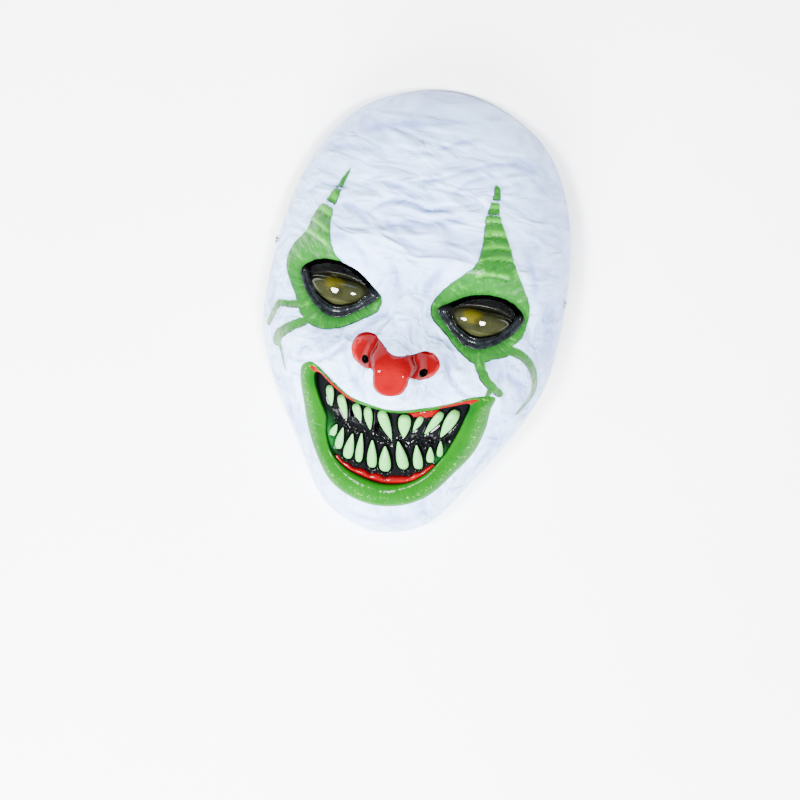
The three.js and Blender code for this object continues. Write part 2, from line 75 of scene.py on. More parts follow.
EYEBALL_TUCK = 1.5
EYEBALL_RISE = 9.0
NOSTRIL = 4.6
GUM_SINK = 4.0
GUM_BULGE = 9.0
GUM_WIDTH = 4.0
GUM_RISE = 5.0
TOOTH_WIDTH = 6.8
TOOTH_LIFT = 1.5
AIR_HOLE = (3.5, 6.0)

# Fineness of the meshes
FACE_GRID = (180, 270)
NOSE_GRID = (130, 110)
GUM_GRID = (176, 128)
EYEBALL_GRID = (88, 88)
CURVE_SAMPLES = 720
LIP_STATIONS = 660
LID_STATIONS = 420
LOWER_GUM_STATIONS = 300
TOOTH_STATIONS = 30
TOOTH_SIDES = 24
STRAP_SIDES = 96
RIVET_SIDES = 48

# Forms that the scene alone gives
LIP_ROLL = 2.6
LID_ROLL = 1.8
LIP_ARC = 45
LID_ARC = 20
LOWER_GUM_ARC = 26
STRAP_THICKNESS = 1.2
STRAP_BEND = 4.0
STRAP_RIBS = 7


def table(columns, rows):
    """Named columns of a short table, as arrays where they hold numbers"""
    return {name: np.array(values) for name, values in zip(columns.split(), zip(*rows))}


def place(x, y, width, height, rise):
    return {"x": x, "y": y, "wide": width / 2, "tall": height / 2, "rise": rise}


PLACES = {
    "face": place(0, 0, MASK_WIDTH, MASK_HEIGHT, FACE_DEPTH),
    "eye": place(42, 14.5, 50, 32, 8),
    "nose": place(0, -18, 53, 31, 21),
    "mouth": place(3.5, -66.5, 114, 80, 11),
}

# Outlines in shares of half the width and height of their place
FACE_EDGE = [
    (0, 1), (0.26, 0.975), (0.57, 0.88), (0.74, 0.765), (0.895, 0.56), (0.975, 0.32), (1, 0.05),
    (0.995, -0.1), (0.97, -0.2), (0.87, -0.37), (0.73, -0.54), (0.595, -0.69), (0.485, -0.81),
    (0.39, -0.895), (0.275, -0.95), (0.14, -0.985), (0, -1),
]
NOSE_EDGE = [
    (0.98, 0.36), (0.87, 0.65), (0.64, 0.81), (0.41, 0.68), (0.19, 0.61), (-0.15, 0.65),
    (-0.34, 0.81), (-0.57, 1), (-0.81, 0.94), (-0.98, 0.68), (-1, 0.36), (-0.87, -0.06),
    (-0.64, -0.23), (-0.42, -0.16), (-0.36, -0.42), (-0.3, -0.81), (-0.11, -1), (0.15, -0.97),
    (0.36, -0.81), (0.45, -0.42), (0.49, -0.1), (0.64, -0.23), (0.83, -0.1), (0.96, 0.16),
]
LIP_OUTER_EDGE = [
    (1, 1), (0.76, 0.97), (0.6, 0.85), (0.38, 0.72), (0.11, 0.62), (-0.13, 0.6), (-0.41, 0.61),
    (-0.62, 0.75), (-0.8, 0.92), (-0.9, 0.96), (-0.99, 0.85), (-0.99, 0.65), (-0.92, 0.28),
    (-0.83, -0.12), (-0.69, -0.5), (-0.5, -0.81), (-0.24, -0.96), (0.04, -0.99), (0.32, -0.91),
    (0.55, -0.71), (0.75, -0.32), (0.9, 0.05), (0.97, 0.48), (0.98, 0.8),
]
LIP_INNER_EDGE = [
    (0.76, 0.86), (0.6, 0.79), (0.38, 0.66), (0.11, 0.56), (-0.13, 0.54), (-0.41, 0.55),
    (-0.62, 0.69), (-0.76, 0.82), (-0.83, 0.82), (-0.82, 0.65), (-0.74, 0.4), (-0.65, 0.17),
    (-0.62, -0.1), (-0.54, -0.35), (-0.38, -0.53), (-0.15, -0.62), (0.08, -0.64), (0.31, -0.55),
    (0.48, -0.35), (0.6, -0.07), (0.68, 0.25), (0.74, 0.6),
]
LID_EDGE = [
    (-1, 0.19), (-0.75, 0.47), (-0.43, 0.78), (-0.08, 0.97), (0.28, 1), (0.59, 0.87),
    (0.83, 0.62), (0.99, 0.28), (0.89, -0.12), (0.67, -0.5), (0.4, -0.81), (0.08, -1),
    (-0.24, -0.94), (-0.51, -0.69), (-0.79, -0.31), (-0.95, -0.03),
]
FORMS = table("on out up wide tall rise sharp pair", [
    ("face", 0.84, 0.39, 0.11, 0.19, -0.05, 1, True),
    ("face", 0, 0.2, 0.14, 0.17, 0.09, 1, False),
    ("face", 0.02, -0.82, 0.27, 0.1, 0.14, 1, False),
    ("eye", -0.12, 1.94, 0.8, 0.56, 1, 1, True),
    ("eye", 0, 0.19, 0.76, 0.69, -1.1, 1, True),
    ("eye", 0.12, -2.3, 0.72, 0.81, 1.1, 1, True),
    ("nose", 0, 1.06, 0.41, 0.9, 0.57, 1, False),
    ("nose", 0.04, -0.42, 0.45, 0.84, 1, 1.6, False),
    ("nose", 0.7, 0.22, 0.36, 0.58, 0.36, 1.6, True),
    ("mouth", -0.06, 0.68, 0.56, 0.33, 1, 1, False),
])
NOSTRILS = [(-0.6, 0.1), (0.68, 0.08)]
NOSE_MIDDLE_UP = 0.35
AIR_HOLES = [(-0.38, 0.35), (-0.11, 0.22)]
GUM_BULGE_WIDE = 0.7
GUM_BULGE_TALL = 0.45
GUM_BULGE_UP = 0.68
GUM_FROM = -2.6
GUM_TO = -0.28
GUM_TAPER = 0.08

# Teeth in shares of half the mouth, widths in shares of the widest tooth
UPPER_TEETH = [
    (-0.67, 0.66, -0.61, 0.35, 0.7), (-0.54, 0.57, -0.43, 0.22, 0.76), (-0.37, 0.5, -0.28, 0.24, 0.74),
    (-0.24, 0.5, -0.17, 0.15, 0.72), (-0.1, 0.5, 0.06, 0.08, 0.92), (0.15, 0.52, 0.18, 0.14, 1.05),
    (0.32, 0.53, 0.26, 0.28, 0.56), (0.51, 0.65, 0.38, 0.26, 0.72), (0.65, 0.72, 0.54, 0.25, 0.98),
]
LOWER_TEETH = [
    (-0.56, -0.12, -0.52, 0.09, 0.6), (-0.47, -0.3, -0.45, 0.07, 0.7), (-0.355, -0.41, -0.34, 0.02, 0.86),
    (-0.23, -0.42, -0.25, 0.07, 0.66), (-0.08, -0.45, -0.13, 0, 0.84), (0.06, -0.46, 0.01, -0.05, 1),
    (0.25, -0.36, 0.13, 0.07, 0.96), (0.39, -0.32, 0.32, 0.07, 0.8), (0.49, -0.19, 0.46, 0.07, 0.64),
    (0.57, -0.08, 0.55, 0.19, 0.5),
]
TOOTH_SECTIONS = table("along wide", [
    (0, 0), (0.03, 0.42), (0.09, 0.76), (0.2, 0.97), (0.38, 1), (0.58, 0.84), (0.78, 0.54),
    (0.92, 0.26), (0.98, 0.12), (1, 0),
])

# Green patches round the eyes, as outlines on the face
PATCHES = {
    "left": [
        (-50, 83.5), (-52, 73), (-54, 60), (-54, 52), (-52, 44), (-48, 35), (-37, 27), (-23, 21),
        (-15.5, 16), (-16, 9), (-24, 2), (-35, -5.5), (-46, -8.5), (-55, -7.5), (-61, -3.5),
        (-67, 5.5), (-75, 16), (-76.5, 24), (-74, 32.5), (-68, 42), (-65, 54), (-60, 63), (-56, 71),
    ],
    "right": [
        (33.8, 92), (36, 91), (37.5, 88), (38.5, 80), (41, 74), (50, 59.5), (53, 53.5), (57, 47),
        (63, 36.5), (68, 26.5), (68.5, 14), (67, 8), (63, 3), (63, -1), (54, -5), (45, -8.5),
        (34, -3.5), (24, 4.5), (15, 12.5), (13.5, 18), (17, 27), (26, 38.5), (33, 47), (34.5, 56),
        (33.5, 66), (32.8, 75), (34, 84),
    ],
}
# Painted lines that run on from the patches: half width at both ends, points
WHISKERS = [
    (2.1, 1.2, [(-61, 1), (-68, -1.5), (-75, -3.5), (-77, -7.5), (-78.5, -13.5), (-80, -18)]),
    (2.3, 2.9, [(-57, -7.5), (-65, -13.5), (-71, -20.5), (-72, -25)]),
    (1.1, 0.3, [(-71, -24), (-67, -31), (-65, -36), (-63, -40)]),
    (2.7, 2.0, [(46, -6), (50, -12.5), (54, -17.5), (58, -20.5), (62, -24)]),
    (1.6, 1.1, [(57, -20), (56, -25), (55, -29)]),
    (2.4, 0.6, [(63, 1), (70, -1.5), (75.5, -6.5), (79, -13.5), (80.5, -21.5), (79, -27.5), (74, -37)]),
]
# Bare gaps across the patches' spikes: half width, points
SPIKE_GAPS = [
    (0.7, [(-58, 70), (-47, 72)]),
    (1.3, [(-65, 62), (-52, 59.5)]),
    (0.8, [(31, 83), (41, 83)]),
    (0.4, [(31, 75), (43, 76)]),
]
# Ridges across the spikes, each with a painted highlight on its crest and painted shade in the fold below:
# middle, half width, half height, slope
SPIKE_BANDS = [
    (-56, 65, 5, 1.3, -0.1), (-60, 57, 6, 1.6, -0.15), (-62, 49, 7, 1.1, -0.2), (-62, 42, 8, 1.3, -0.2),
    (37, 80, 3, 1, 0.1), (39, 73, 5, 1.2, 0.1), (41, 66, 6, 1.7, 0.1), (43, 59, 7, 1.2, 0.12),
    (44, 53, 9, 0.9, 0.15), (44, 44, 8, 1.3, 0.1),
]
# Wrinkles: depth, half width, points
CREASES = [
    (0.9, 1.3, [(-79, 60), (-73, 63), (-66, 69), (-53, 71), (-46, 70)]),
    (0.8, 1.4, [(-56, 61), (-46, 63), (-37, 61), (-30, 57)]),
    (1.0, 1.4, [(-34, 62), (-28, 68), (-20, 72), (-10, 73), (0, 71), (12, 75), (29, 80)]),
    (1.0, 1.3, [(-20, 85), (-8, 85), (3, 89), (18, 97), (34, 103), (49, 102), (57, 97)]),
    (0.8, 1.3, [(11, 82), (19, 91), (28, 95), (35, 96)]),
    (0.9, 1.6, [(-10, 102), (-1, 105), (11, 111), (21, 109)]),
    (0.7, 1.6, [(-17, 105), (-9, 101), (2, 102)]),
    (0.8, 1.8, [(-72, 84), (-57, 93), (-42, 95), (-30, 92)]),
    (0.6, 1.8, [(-50, 104), (-30, 112), (-8, 117), (10, 122)]),
    (0.7, 2.0, [(-38, 78), (-22, 80), (-6, 78), (8, 80)]),
    (0.7, 2.2, [(-24, 63), (-15, 55), (-4, 50), (6, 49)]),
    (0.7, 2.2, [(-16, 61), (0, 63), (13, 68), (26, 72)]),
    (0.8, 2.0, [(-52, 46), (-42, 47), (-33, 41), (-28, 33)]),
    (0.9, 2.4, [(-17, 42), (-9, 30), (-4, 18)]),
    (0.8, 2.4, [(17, 44), (11, 32), (7, 20)]),
    (0.9, 1.6, [(-66, -31), (-54, -30), (-44, -26), (-34, -18), (-28, -9), (-22, -3)]),
    (1.0, 2.2, [(-31, -9), (-27, -22), (-20, -33), (-10, -41)]),
    (1.1, 2.0, [(27, -2), (31, -14), (38, -23), (46, -27), (56, -28)]),
    (0.8, 2.4, [(57, -12), (66, -14), (73, -20), (71, -27)]),
    (0.7, 1.8, [(-19, 0), (-15, 6), (-8, 8), (-3, 4)]),
    (0.7, 1.8, [(20, -2), (25, 1), (30, -3), (34, -10)]),
    (0.8, 2.2, [(76, 34), (81, 16), (83, -2)]),
    (0.7, 2.2, [(58, 60), (66, 46), (71, 30)]),
    (0.7, 2.0, [(-81, 8), (-80, -8), (-76, -22)]),
    (0.8, 2.6, [(-24, -112), (-4, -117), (20, -115), (38, -105)]),
    (0.7, 2.4, [(-62, -50), (-56, -66), (-46, -84)]),
    (0.7, 2.4, [(68, -52), (60, -70), (50, -88)]),
]
# Painted shade in grey and lavender over the white, where shade falls on the face: strength, middle, half
# width, half height
PAINTED_SHADE_SPOTS = [
    (0.7, 84, 10, 16, 60), (0.35, -88, 10, 10, 60), (0.35, 0, 128, 60, 14), (0.5, 62, 92, 22, 22),
    (0.4, -40, 105, 30, 10), (0.45, 10, 60, 34, 14), (0.4, -14, 30, 8, 14), (0.45, 14, 30, 8, 14),
    (0.4, 14, -28, 9, 6), (0.35, -18, -32, 8, 7), (0.3, 30, -22, 12, 9), (0.35, 68, -48, 12, 26),
    (0.3, -68, -52, 9, 26), (0.35, 62, 66, 10, 16), (0.3, -30, 40, 10, 12), (0.25, 4, -124, 40, 8),
]
RED_PATCH = [(8, -41.5), (16, -40), (32, -41), (27, -44.5), (20, -46.5), (13, -45)]
NOSE_CREASES = [
    (0.9, 1.3, [(-11, -2), (-12, -8), (-13.5, -13), (-11.5, -17), (-10, -22)]),
    (0.9, 1.3, [(10, -5), (11.5, -10), (14, -14), (13, -18), (12, -22)]),
]


def smoothstep(value, low=0.0, high=1.0):
    share = np.clip((value - low) / (high - low), 0, 1)
    return share * share * (3 - 2 * share)


def lerp(a, b, share):
    return a + (b - a) * share


def smooth_line(points, closed=False, samples=CURVE_SAMPLES):
    """Points on a centripetal Catmull-Rom curve through the given ones"""
    points = np.array(points, float)
    count = len(points)
    if closed:
        padded = np.vstack([points[-1:], points, points[:2]])
        spans = count
    else:
        padded = np.vstack([2 * points[0] - points[1], points, 2 * points[-1] - points[-2]])
        spans = count - 1
    steps = max(2, samples // spans)
    parts = []
    for i in range(spans):
        a, b, c, d = padded[i:i + 4]
        knots = np.cumsum([0] + [np.linalg.norm(q - p) ** 0.5 for p, q in ((a, b), (b, c), (c, d))])
        t = lerp(knots[1], knots[2], np.arange(steps) / steps)[:, None]

        def between(p, q, start, end):
            return ((end - t) * p + (t - start) * q) / (end - start)

        ab = between(a, b, knots[0], knots[1])
        bc = between(b, c, knots[1], knots[2])
        cd = between(c, d, knots[2], knots[3])
        left = between(ab, bc, knots[0], knots[2])
        right = between(bc, cd, knots[1], knots[3])
        parts.append(between(left, right, knots[1], knots[2]))
    if not closed:
        parts.append(points[-1:])
    return np.vstack(parts)


def outline_of(edge, where):
    spot = PLACES[where]
    return smooth_line([(spot["x"] + out * spot["wide"], spot["y"] + up * spot["tall"])
                        for out, up in edge], closed=True)


def reach_from(middle, outline):
    """Distance from a middle to a closed outline, as a function of the angle"""
    across, up = (outline - np.array(middle)).T
    angle = np.arctan2(up, across)
    order = np.argsort(angle)
    angle = angle[order]
    reach = np.hypot(across, up)[order]
    angle = np.concatenate([angle[-1:] - 2 * np.pi, angle, angle[:1] + 2 * np.pi])
    reach = np.concatenate([reach[-1:], reach, reach[:1]])
    return lambda at: np.interp(np.arctan2(np.sin(at), np.cos(at)), angle, reach)


MIRRORED_EDGE = FACE_EDGE + [(-out, up) for out, up in FACE_EDGE[-2:0:-1]]
face_reach = reach_from((0, 0), outline_of(MIRRORED_EDGE, "face"))
MOUTH_MIDDLE = (PLACES["mouth"]["x"], PLACES["mouth"]["y"])
EYE_MIDDLE = (PLACES["eye"]["x"], PLACES["eye"]["y"])
NOSE_MIDDLE = (PLACES["nose"]["x"], PLACES["nose"]["y"] + NOSE_MIDDLE_UP * PLACES["nose"]["tall"])
nose_reach = reach_from(NOSE_MIDDLE, outline_of(NOSE_EDGE, "nose"))
lip_outer = reach_from(MOUTH_MIDDLE, outline_of(LIP_OUTER_EDGE, "mouth"))
lip_inner = reach_from(MOUTH_MIDDLE, outline_of(LIP_INNER_EDGE, "mouth"))
lid_outer = reach_from(EYE_MIDDLE, outline_of(LID_EDGE, "eye"))


def lid_inner(angle):
    return lid_outer(angle) - lerp(LID_BELOW, LID_ABOVE, (1 + np.sin(angle)) / 2)


def eyeball_reach(angle):
    """The eyeball's lower edge runs in behind the lid, and its free upper edge is half an ellipse."""
    tucked = lid_inner(angle) + EYEBALL_TUCK
    half = min(lid_inner(0.0), lid_inner(np.pi)) + EYEBALL_TUCK
    top = PLACES["eye"]["tall"] - LID_ABOVE - SLIT_HEIGHT
    free = 1 / np.hypot(np.cos(angle) / half, np.sin(angle) / top)
    return np.where(np.sin(angle) > 0, np.minimum(tucked, free), tucked)


def shift_at(y):
    return CHIN_SHIFT * smoothstep(-y / (MASK_HEIGHT / 2))


def dome_height(share, angle, y, depth):
    rim = RIM_ARCH * smoothstep(np.abs(np.cos(angle)), RIM_ARCH_FROM, RIM_ARCH_TO)
    power = lerp(FOREHEAD_FULLNESS, CHIN_FULLNESS, smoothstep(0.5 - y / MASK_HEIGHT))
    return rim + (depth - rim) * np.sqrt(np.clip(1 - share ** power, 0, None))


def forms_height(x, y):
    height = np.zeros_like(x)
    for on, out, up, wide, tall, rise, sharp, pair in zip(*FORMS.values()):
        spot = PLACES[on]
        for side in (1, -1) if pair else (1,):
            across = (x - side * (spot["x"] + out * spot["wide"])) / (wide * spot["wide"])
            along = (y - spot["y"] - up * spot["tall"]) / (tall * spot["tall"])
            height += rise * spot["rise"] * np.exp(-(((across ** 2 + along ** 2) / 2) ** sharp))
    return height


def face_at(share, angle, thickness=0.0):
    """Points of the outer skin, or of the inner skin under it"""
    reach = share * face_reach(angle)
    y = reach * np.sin(angle)
    x = reach * np.cos(angle) + shift_at(y)
    z = dome_height(share, angle, y, FACE_DEPTH - thickness)
    z = z + (1 - share ** FORMS_FADE) * forms_height(x, y)
    inset = thickness * share
    return np.stack([x - inset * np.cos(angle), y - inset * np.sin(angle), z], -1)


def share_at(x, y):
    across = x - shift_at(y)
    angle = np.arctan2(y, across)
    return np.minimum(1, np.hypot(across, y) / face_reach(angle)), angle


def face_height(x, y, depth=FACE_DEPTH):
    share, angle = share_at(x, y)
    return dome_height(share, angle, y, depth) + (1 - share ** FORMS_FADE) * forms_height(x, y)


def gum_height(x, y):
    """The gums lie under the face's plain dome and bulge behind the upper teeth."""
    share, angle = share_at(x, y)
    spot = PLACES["mouth"]
    across = (x - spot["x"]) / (GUM_BULGE_WIDE * spot["wide"])
    along = (y - spot["y"] - GUM_BULGE_UP * spot["tall"]) / (GUM_BULGE_TALL * spot["tall"])
    bulge = GUM_BULGE * np.exp(-(across ** 2 + along ** 2) / 2)
    return dome_height(share, angle, y, FACE_DEPTH) - GUM_SINK + bulge


def value_noise(x, y, cell, seed):
    """Smooth noise between -1 and 1 with bumps about one cell across"""
    lattice = np.random.default_rng(seed).uniform(-1, 1, (128, 128))
    u = x / cell[0] + 64
    v = y / cell[1] + 64
    i = np.floor(u).astype(int)
    j = np.floor(v).astype(int)
    a = smoothstep(u - i)
    b = smoothstep(v - j)

    def at(di, dj):
        return lattice[(i + di) % 128, (j + dj) % 128]

    return lerp(lerp(at(0, 0), at(1, 0), a), lerp(at(0, 1), at(1, 1), a), b)


def distance_to(points, line):
    """Distance from each point to a line, and the share of the line's length where it is nearest"""
    best = np.full(len(points), np.inf)
    share = np.zeros(len(points))
    steps = np.linalg.norm(np.diff(line, axis=0), axis=1)
    run = np.concatenate([[0], np.cumsum(steps)]) / steps.sum()
    for k, (start, end) in enumerate(zip(line[:-1], line[1:])):
        way = end - start
        t = np.clip((points - start) @ way / (way @ way), 0, 1)
        gap = np.linalg.norm(points - start - t[:, None] * way, axis=1)
        nearer = gap < best
        best = np.where(nearer, gap, best)
        share = np.where(nearer, lerp(run[k], run[k + 1], t), share)
    return best, share


def signed_distance(points, outline):
    """Distance to a closed outline, negative inside it"""
    ring = np.vstack([outline, outline[:1]])
    gap, _ = distance_to(points, ring)
    inside = np.zeros(len(points), bool)
    for (ax, ay), (bx, by) in zip(ring[:-1], ring[1:]):
        if ay == by:
            continue
        crosses = (ay > points[:, 1]) != (by > points[:, 1])
        inside ^= crosses & (points[:, 0] < ax + (points[:, 1] - ay) * (bx - ax) / (by - ay))
    return np.where(inside, -gap, gap)


def wrinkle(points, creases):
    """Valleys with soft banks: their heights, and how deep in a valley each point is"""
    height = np.zeros(len(points))
    depth = np.zeros(len(points))
    for deep, wide, line in creases:
        gap, share = distance_to(points, smooth_line(line, samples=24))
        taper = np.sqrt(np.sin(np.pi * np.clip(share, 0.02, 0.98)))
        valley = np.exp(-(gap / wide) ** 2) * taper
        bank = np.exp(-(gap / (3.2 * wide)) ** 2) * taper
        height += deep * (1.0 * bank - 1.9 * valley)
        depth = np.maximum(depth, valley)
    return height, depth


def soft_spot(x, y, at_x, at_y, wide, tall):
    """1 at a spot's middle, fading softly to 0 outside it"""
    return np.exp(-(((x - at_x) / wide) ** 2 + ((y - at_y) / tall) ** 2))


def on_spokes(middle, angle, reach):
    return middle[0] + reach * np.cos(angle), middle[1] + reach * np.sin(angle)


def grid_faces(rows, columns, closed):
    """Quads over a grid of points, row by row; a closed grid joins its last column to the first"""
    last = columns if closed else columns - 1
    i, j = np.meshgrid(np.arange(rows - 1), np.arange(last), indexing="ij")
    k = (j + 1) % columns
    quads = [i * columns + j, (i + 1) * columns + j, (i + 1) * columns + k, i * columns + k]
    return np.stack(quads, -1).reshape(-1, 4)


def tube_faces(rings, sides):
    """Quads along a tube of rings, and flat caps at both its ends"""
    caps = np.array([[0, k, k + 1, k + 1] for k in range(1, sides - 1)])
    return np.concatenate([grid_faces(rings, sides, True), caps[:, ::-1], caps + (rings - 1) * sides])


def thick_sheet(top, under, quads):
    """Closed skin of a sheet: its top, its underside and the walls along every free edge"""
    used, flat = np.unique(quads, return_inverse=True)
    quads = flat.reshape(-1, 4)
    top = top[used]
    under = under[used]
    count = len(top)
    edges = np.concatenate([quads[:, [k, (k + 1) % 4]] for k in range(4)])
    ordered = np.sort(edges, axis=1)
    _, first, times = np.unique(ordered, axis=0, return_index=True, return_counts=True)
    free = edges[first[times == 1]]
    walls = np.stack([free[:, 1], free[:, 0], free[:, 0] + count, free[:, 1] + count], -1)
    faces = np.concatenate([quads, quads[:, ::-1] + count, walls])
    return np.concatenate([top, under]), faces, used, len(quads)


def both_sides(fields, used):
    """A sheet's fields, for its top and again for its underside"""
    return {name: np.concatenate([values[used]] * 2) for name, values in fields.items()}


def shaded_back(piece, back):
    """Gives the piece's second material, the dark inside that stands in for shade, to the faces of the
    moulding's back
    """
    index = np.zeros(len(piece.data.polygons), np.int32)
    index[back] = 1
    piece.data.polygons.foreach_set("material_index", index)


def make_mesh(name, points, faces, replaces, fields=None, sharp=40.0):
    """A smooth mesh object from points in millimetres, with its fields stored on the points"""
    corners = points[faces]
    a, b, c, d = (corners[:, k] for k in range(4))
    volume = (a * np.cross(b, c)).sum() + (a * np.cross(c, d)).sum()
    if volume < 0:
        faces = faces[:, ::-1]
    mesh = bpy.data.meshes.new(name)
    mesh.from_pydata((points * MM).tolist(), [], [list(dict.fromkeys(face)) for face in faces.tolist()])
    mesh.update()
    mesh.polygons.foreach_set("use_smooth", np.ones(len(mesh.polygons), bool))
    mesh.set_sharp_from_angle(angle=math.radians(sharp))
    for field, values in (fields or {}).items():
        vector = values.ndim == 2
        layer = mesh.attributes.new(field, "FLOAT_VECTOR" if vector else "FLOAT", "POINT")
        layer.data.foreach_set("vector" if vector else "value", values.astype(np.float32).ravel())
    made = bpy.data.objects.new(name, mesh)
    bpy.context.scene.collection.objects.link(made)
    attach(made, "root")
    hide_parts(replaces)
    return made


# Colours and nodes

def linear(hex_colour):
    """Linear RGBA of an sRGB hex colour"""
    def channel(pair):
        value = int(pair, 16) / 255
        return value / 12.92 if value <= 0.04045 else ((value + 0.055) / 1.055) ** 2.4
    return tuple(channel(hex_colour[i:i + 2]) for i in (1, 3, 5)) + (1.0,)


def add(tree, kind, inputs=None, **settings):
    """Adds a node with its settings; each input is a value or another node's output."""
    made = tree.nodes.new(kind)
    for name, value in settings.items():
        setattr(made, name, value)
    for key, value in (inputs or {}).items():
        if isinstance(value, bpy.types.NodeSocket):
            tree.links.new(value, made.inputs[key])
        else:
            made.inputs[key].default_value = value
    return made


def new_material(name):
    """An empty material, its node tree and the object's coordinates in metres"""
    material = bpy.data.materials.new(name)
    material.use_nodes = True
    tree = material.node_tree
    tree.nodes.clear()
    return material, tree, add(tree, "ShaderNodeTexCoord").outputs["Object"]


def finish_material(tree, **inputs):
    shader = add(tree, "ShaderNodeBsdfPrincipled", inputs)
    add(tree, "ShaderNodeOutputMaterial", {"Surface": shader.outputs[0]})


def mix(tree, factor, a, b):
    return add(tree, "ShaderNodeMix", {0: factor, 6: a, 7: b}, data_type="RGBA").outputs[2]


def noise(tree, vector, size_mm, detail=3.0, roughness=0.55, distortion=0.0):
    """Noise whose features are about one size across, on coordinates in metres"""
    settings = {
        "Vector": vector, "Scale": 1 / (size_mm * MM), "Detail": detail, "Roughness": roughness,
        "Distortion": distortion,
    }
    return add(tree, "ShaderNodeTexNoise", settings).outputs[0]


def steps(tree, value, low, high, to_low=0.0, to_high=1.0):
    """Soft step of a value between two limits"""
    ends = {"Value": value, 1: low, 2: high, 3: to_low, 4: to_high}
    return add(tree, "ShaderNodeMapRange", ends, interpolation_type="SMOOTHSTEP").outputs[0]


def math_node(tree, operation, *values):
    return add(tree, "ShaderNodeMath", dict(enumerate(values)), operation=operation).outputs[0]


def field(tree, name):
    return add(tree, "ShaderNodeAttribute", attribute_name=name).outputs["Fac"]


def bump(tree, height, distance_mm, strength=1.0):
    settings = {"Height": height, "Distance": distance_mm * MM, "Strength": strength}
    return add(tree, "ShaderNodeBump", settings).outputs[0]


def painted_vinyl(colours):
    """Soft PVC from a rotational mould, sprayed satin white and brushed with green: the eye sees a broad dull
    shine, grey and lavender painted shade in the wrinkles and hollows, and brush strokes in the green with
    painted highlights and painted shade on the spike ridges."""
    material, tree, where = new_material("rotomoulded PVC, sprayed satin white")
    wobble = math_node(tree, "MULTIPLY_ADD", noise(tree, where, 3.0), 1.3, -0.65)
    edge = math_node(tree, "ADD", field(tree, "green"), wobble)
    covered = steps(tree, edge, 0.45, -0.35)
    haze = steps(tree, edge, 3.2, 0.2, 0.0, 0.22)

    stroke_at = add(tree, "ShaderNodeAttribute", attribute_name="stroke").outputs["Vector"]
    radial = add(tree, "ShaderNodeTexNoise", {"Vector": stroke_at, "Scale": 0.45, "Detail": 1.5}).outputs[0]
    flat = add(tree, "ShaderNodeMapping", {"Vector": where, "Scale": (0.28, 1.0, 0.28)}).outputs[0]
    banded = noise(tree, flat, 4.6, 2.0, distortion=0.4)
    strokes = add(tree, "ShaderNodeMix", {0: field(tree, "spike"), 2: radial, 3: banded}).outputs[0]
    strokes = add(tree, "ShaderNodeMix", {0: 0.5, 2: strokes, 3: noise(tree, where, 5.5, 3.0)}).outputs[0]
    # The band field adds a painted highlight on the spike ridges and the band_shade field adds painted shade
    # in their folds, on top of the brush strokes
    light = math_node(tree, "ADD", steps(tree, strokes, 0.54, 0.66, 0.0, 0.4), field(tree, "band"))
    dark = math_node(tree, "ADD", steps(tree, strokes, 0.48, 0.38, 0.0, 0.4), field(tree, "band_shade"))
    green = mix(tree, light, colours.green, colours.green_light)
    green = mix(tree, dark, green, colours.green_dark)
    green = mix(tree, math_node(tree, "MULTIPLY", field(tree, "lid"), 0.75), green, colours.green_dark)

    height_up = add(tree, "ShaderNodeSeparateXYZ", {0: where}).outputs[1]
    brow = steps(tree, height_up, 22 * MM, 52 * MM)
    drawn = add(tree, "ShaderNodeMapping", {"Vector": where, "Scale": (0.4, 1.0, 0.4)}).outputs[0]
    pleats = noise(tree, drawn, 9.0, 1.6, 0.45, 0.6)
    puffs = noise(tree, where, 13.0, 2.0, 0.45, 0.6)
    skin = add(tree, "ShaderNodeMix", {0: brow, 2: puffs, 3: pleats}).outputs[0]
    off_middle = math_node(tree, "ABSOLUTE", math_node(tree, "SUBTRACT", skin, 0.5))
    crease = steps(tree, off_middle, 0.022, 0.0)
    broken = steps(tree, noise(tree, where, 17.0, 2.0), 0.53, 0.66)
    crease = math_node(tree, "MULTIPLY", crease, broken)

    cloudy = steps(tree, noise(tree, where, 22.0, 5.0, 0.65), 0.4, 0.68, 0.0, 0.35)
    shade = math_node(tree, "ADD", field(tree, "shade"), cloudy)
    # Painted shade: the hollows of the bump's noise and its fine creases darken the white further
    shade = math_node(tree, "ADD", shade, steps(tree, skin, 0.56, 0.3, 0.0, 0.42))
    shade = math_node(tree, "MULTIPLY_ADD", crease, 0.2, shade)
    white = mix(tree, shade, colours.white, colours.lavender)
    speck = steps(tree, noise(tree, where, 1.6, 1.0), 0.78, 0.82, 0.0, 0.35)
    white = mix(tree, speck, white, linear("#4A4E66"))
    white = mix(tree, haze, white, colours.green_light)
    colour = mix(tree, covered, white, green)
    roughness = add(tree, "ShaderNodeMix", {0: covered, 2: 0.44, 3: 0.3}).outputs[0]

    relief = math_node(tree, "MULTIPLY_ADD", crease, -0.035, skin)
    grooves = math_node(tree, "MULTIPLY", strokes, 0.3)
    relief = add(tree, "ShaderNodeMix", {0: covered, 2: relief, 3: grooves}).outputs[0]
    orange_peel = math_node(tree, "MULTIPLY", noise(tree, where, 0.9, 2.0), 0.012)
    grain = bump(tree, math_node(tree, "ADD", relief, orange_peel), 6.5)
    finish_material(tree, **{
        "Base Color": colour, "Roughness": roughness, "Specular IOR Level": 0.3, "Normal": grain,
    })
    return material


def shaded_inside_vinyl():
    """The unpainted back of the moulding in dark matte PVC: painted shade that keeps the eye slits black."""
    material, tree, where = new_material("moulded PVC back, black as painted shade")
    cloudy = noise(tree, where, 14.0, 4.0)
    colour = mix(tree, cloudy, linear("#141519"), linear("#23252B"))
    grain = bump(tree, noise(tree, where, 1.1, 2.0), 0.15)
    finish_material(tree, **{"Base Color": colour, "Roughness": 0.62, "IOR": 1.53, "Normal": grain})
    return material


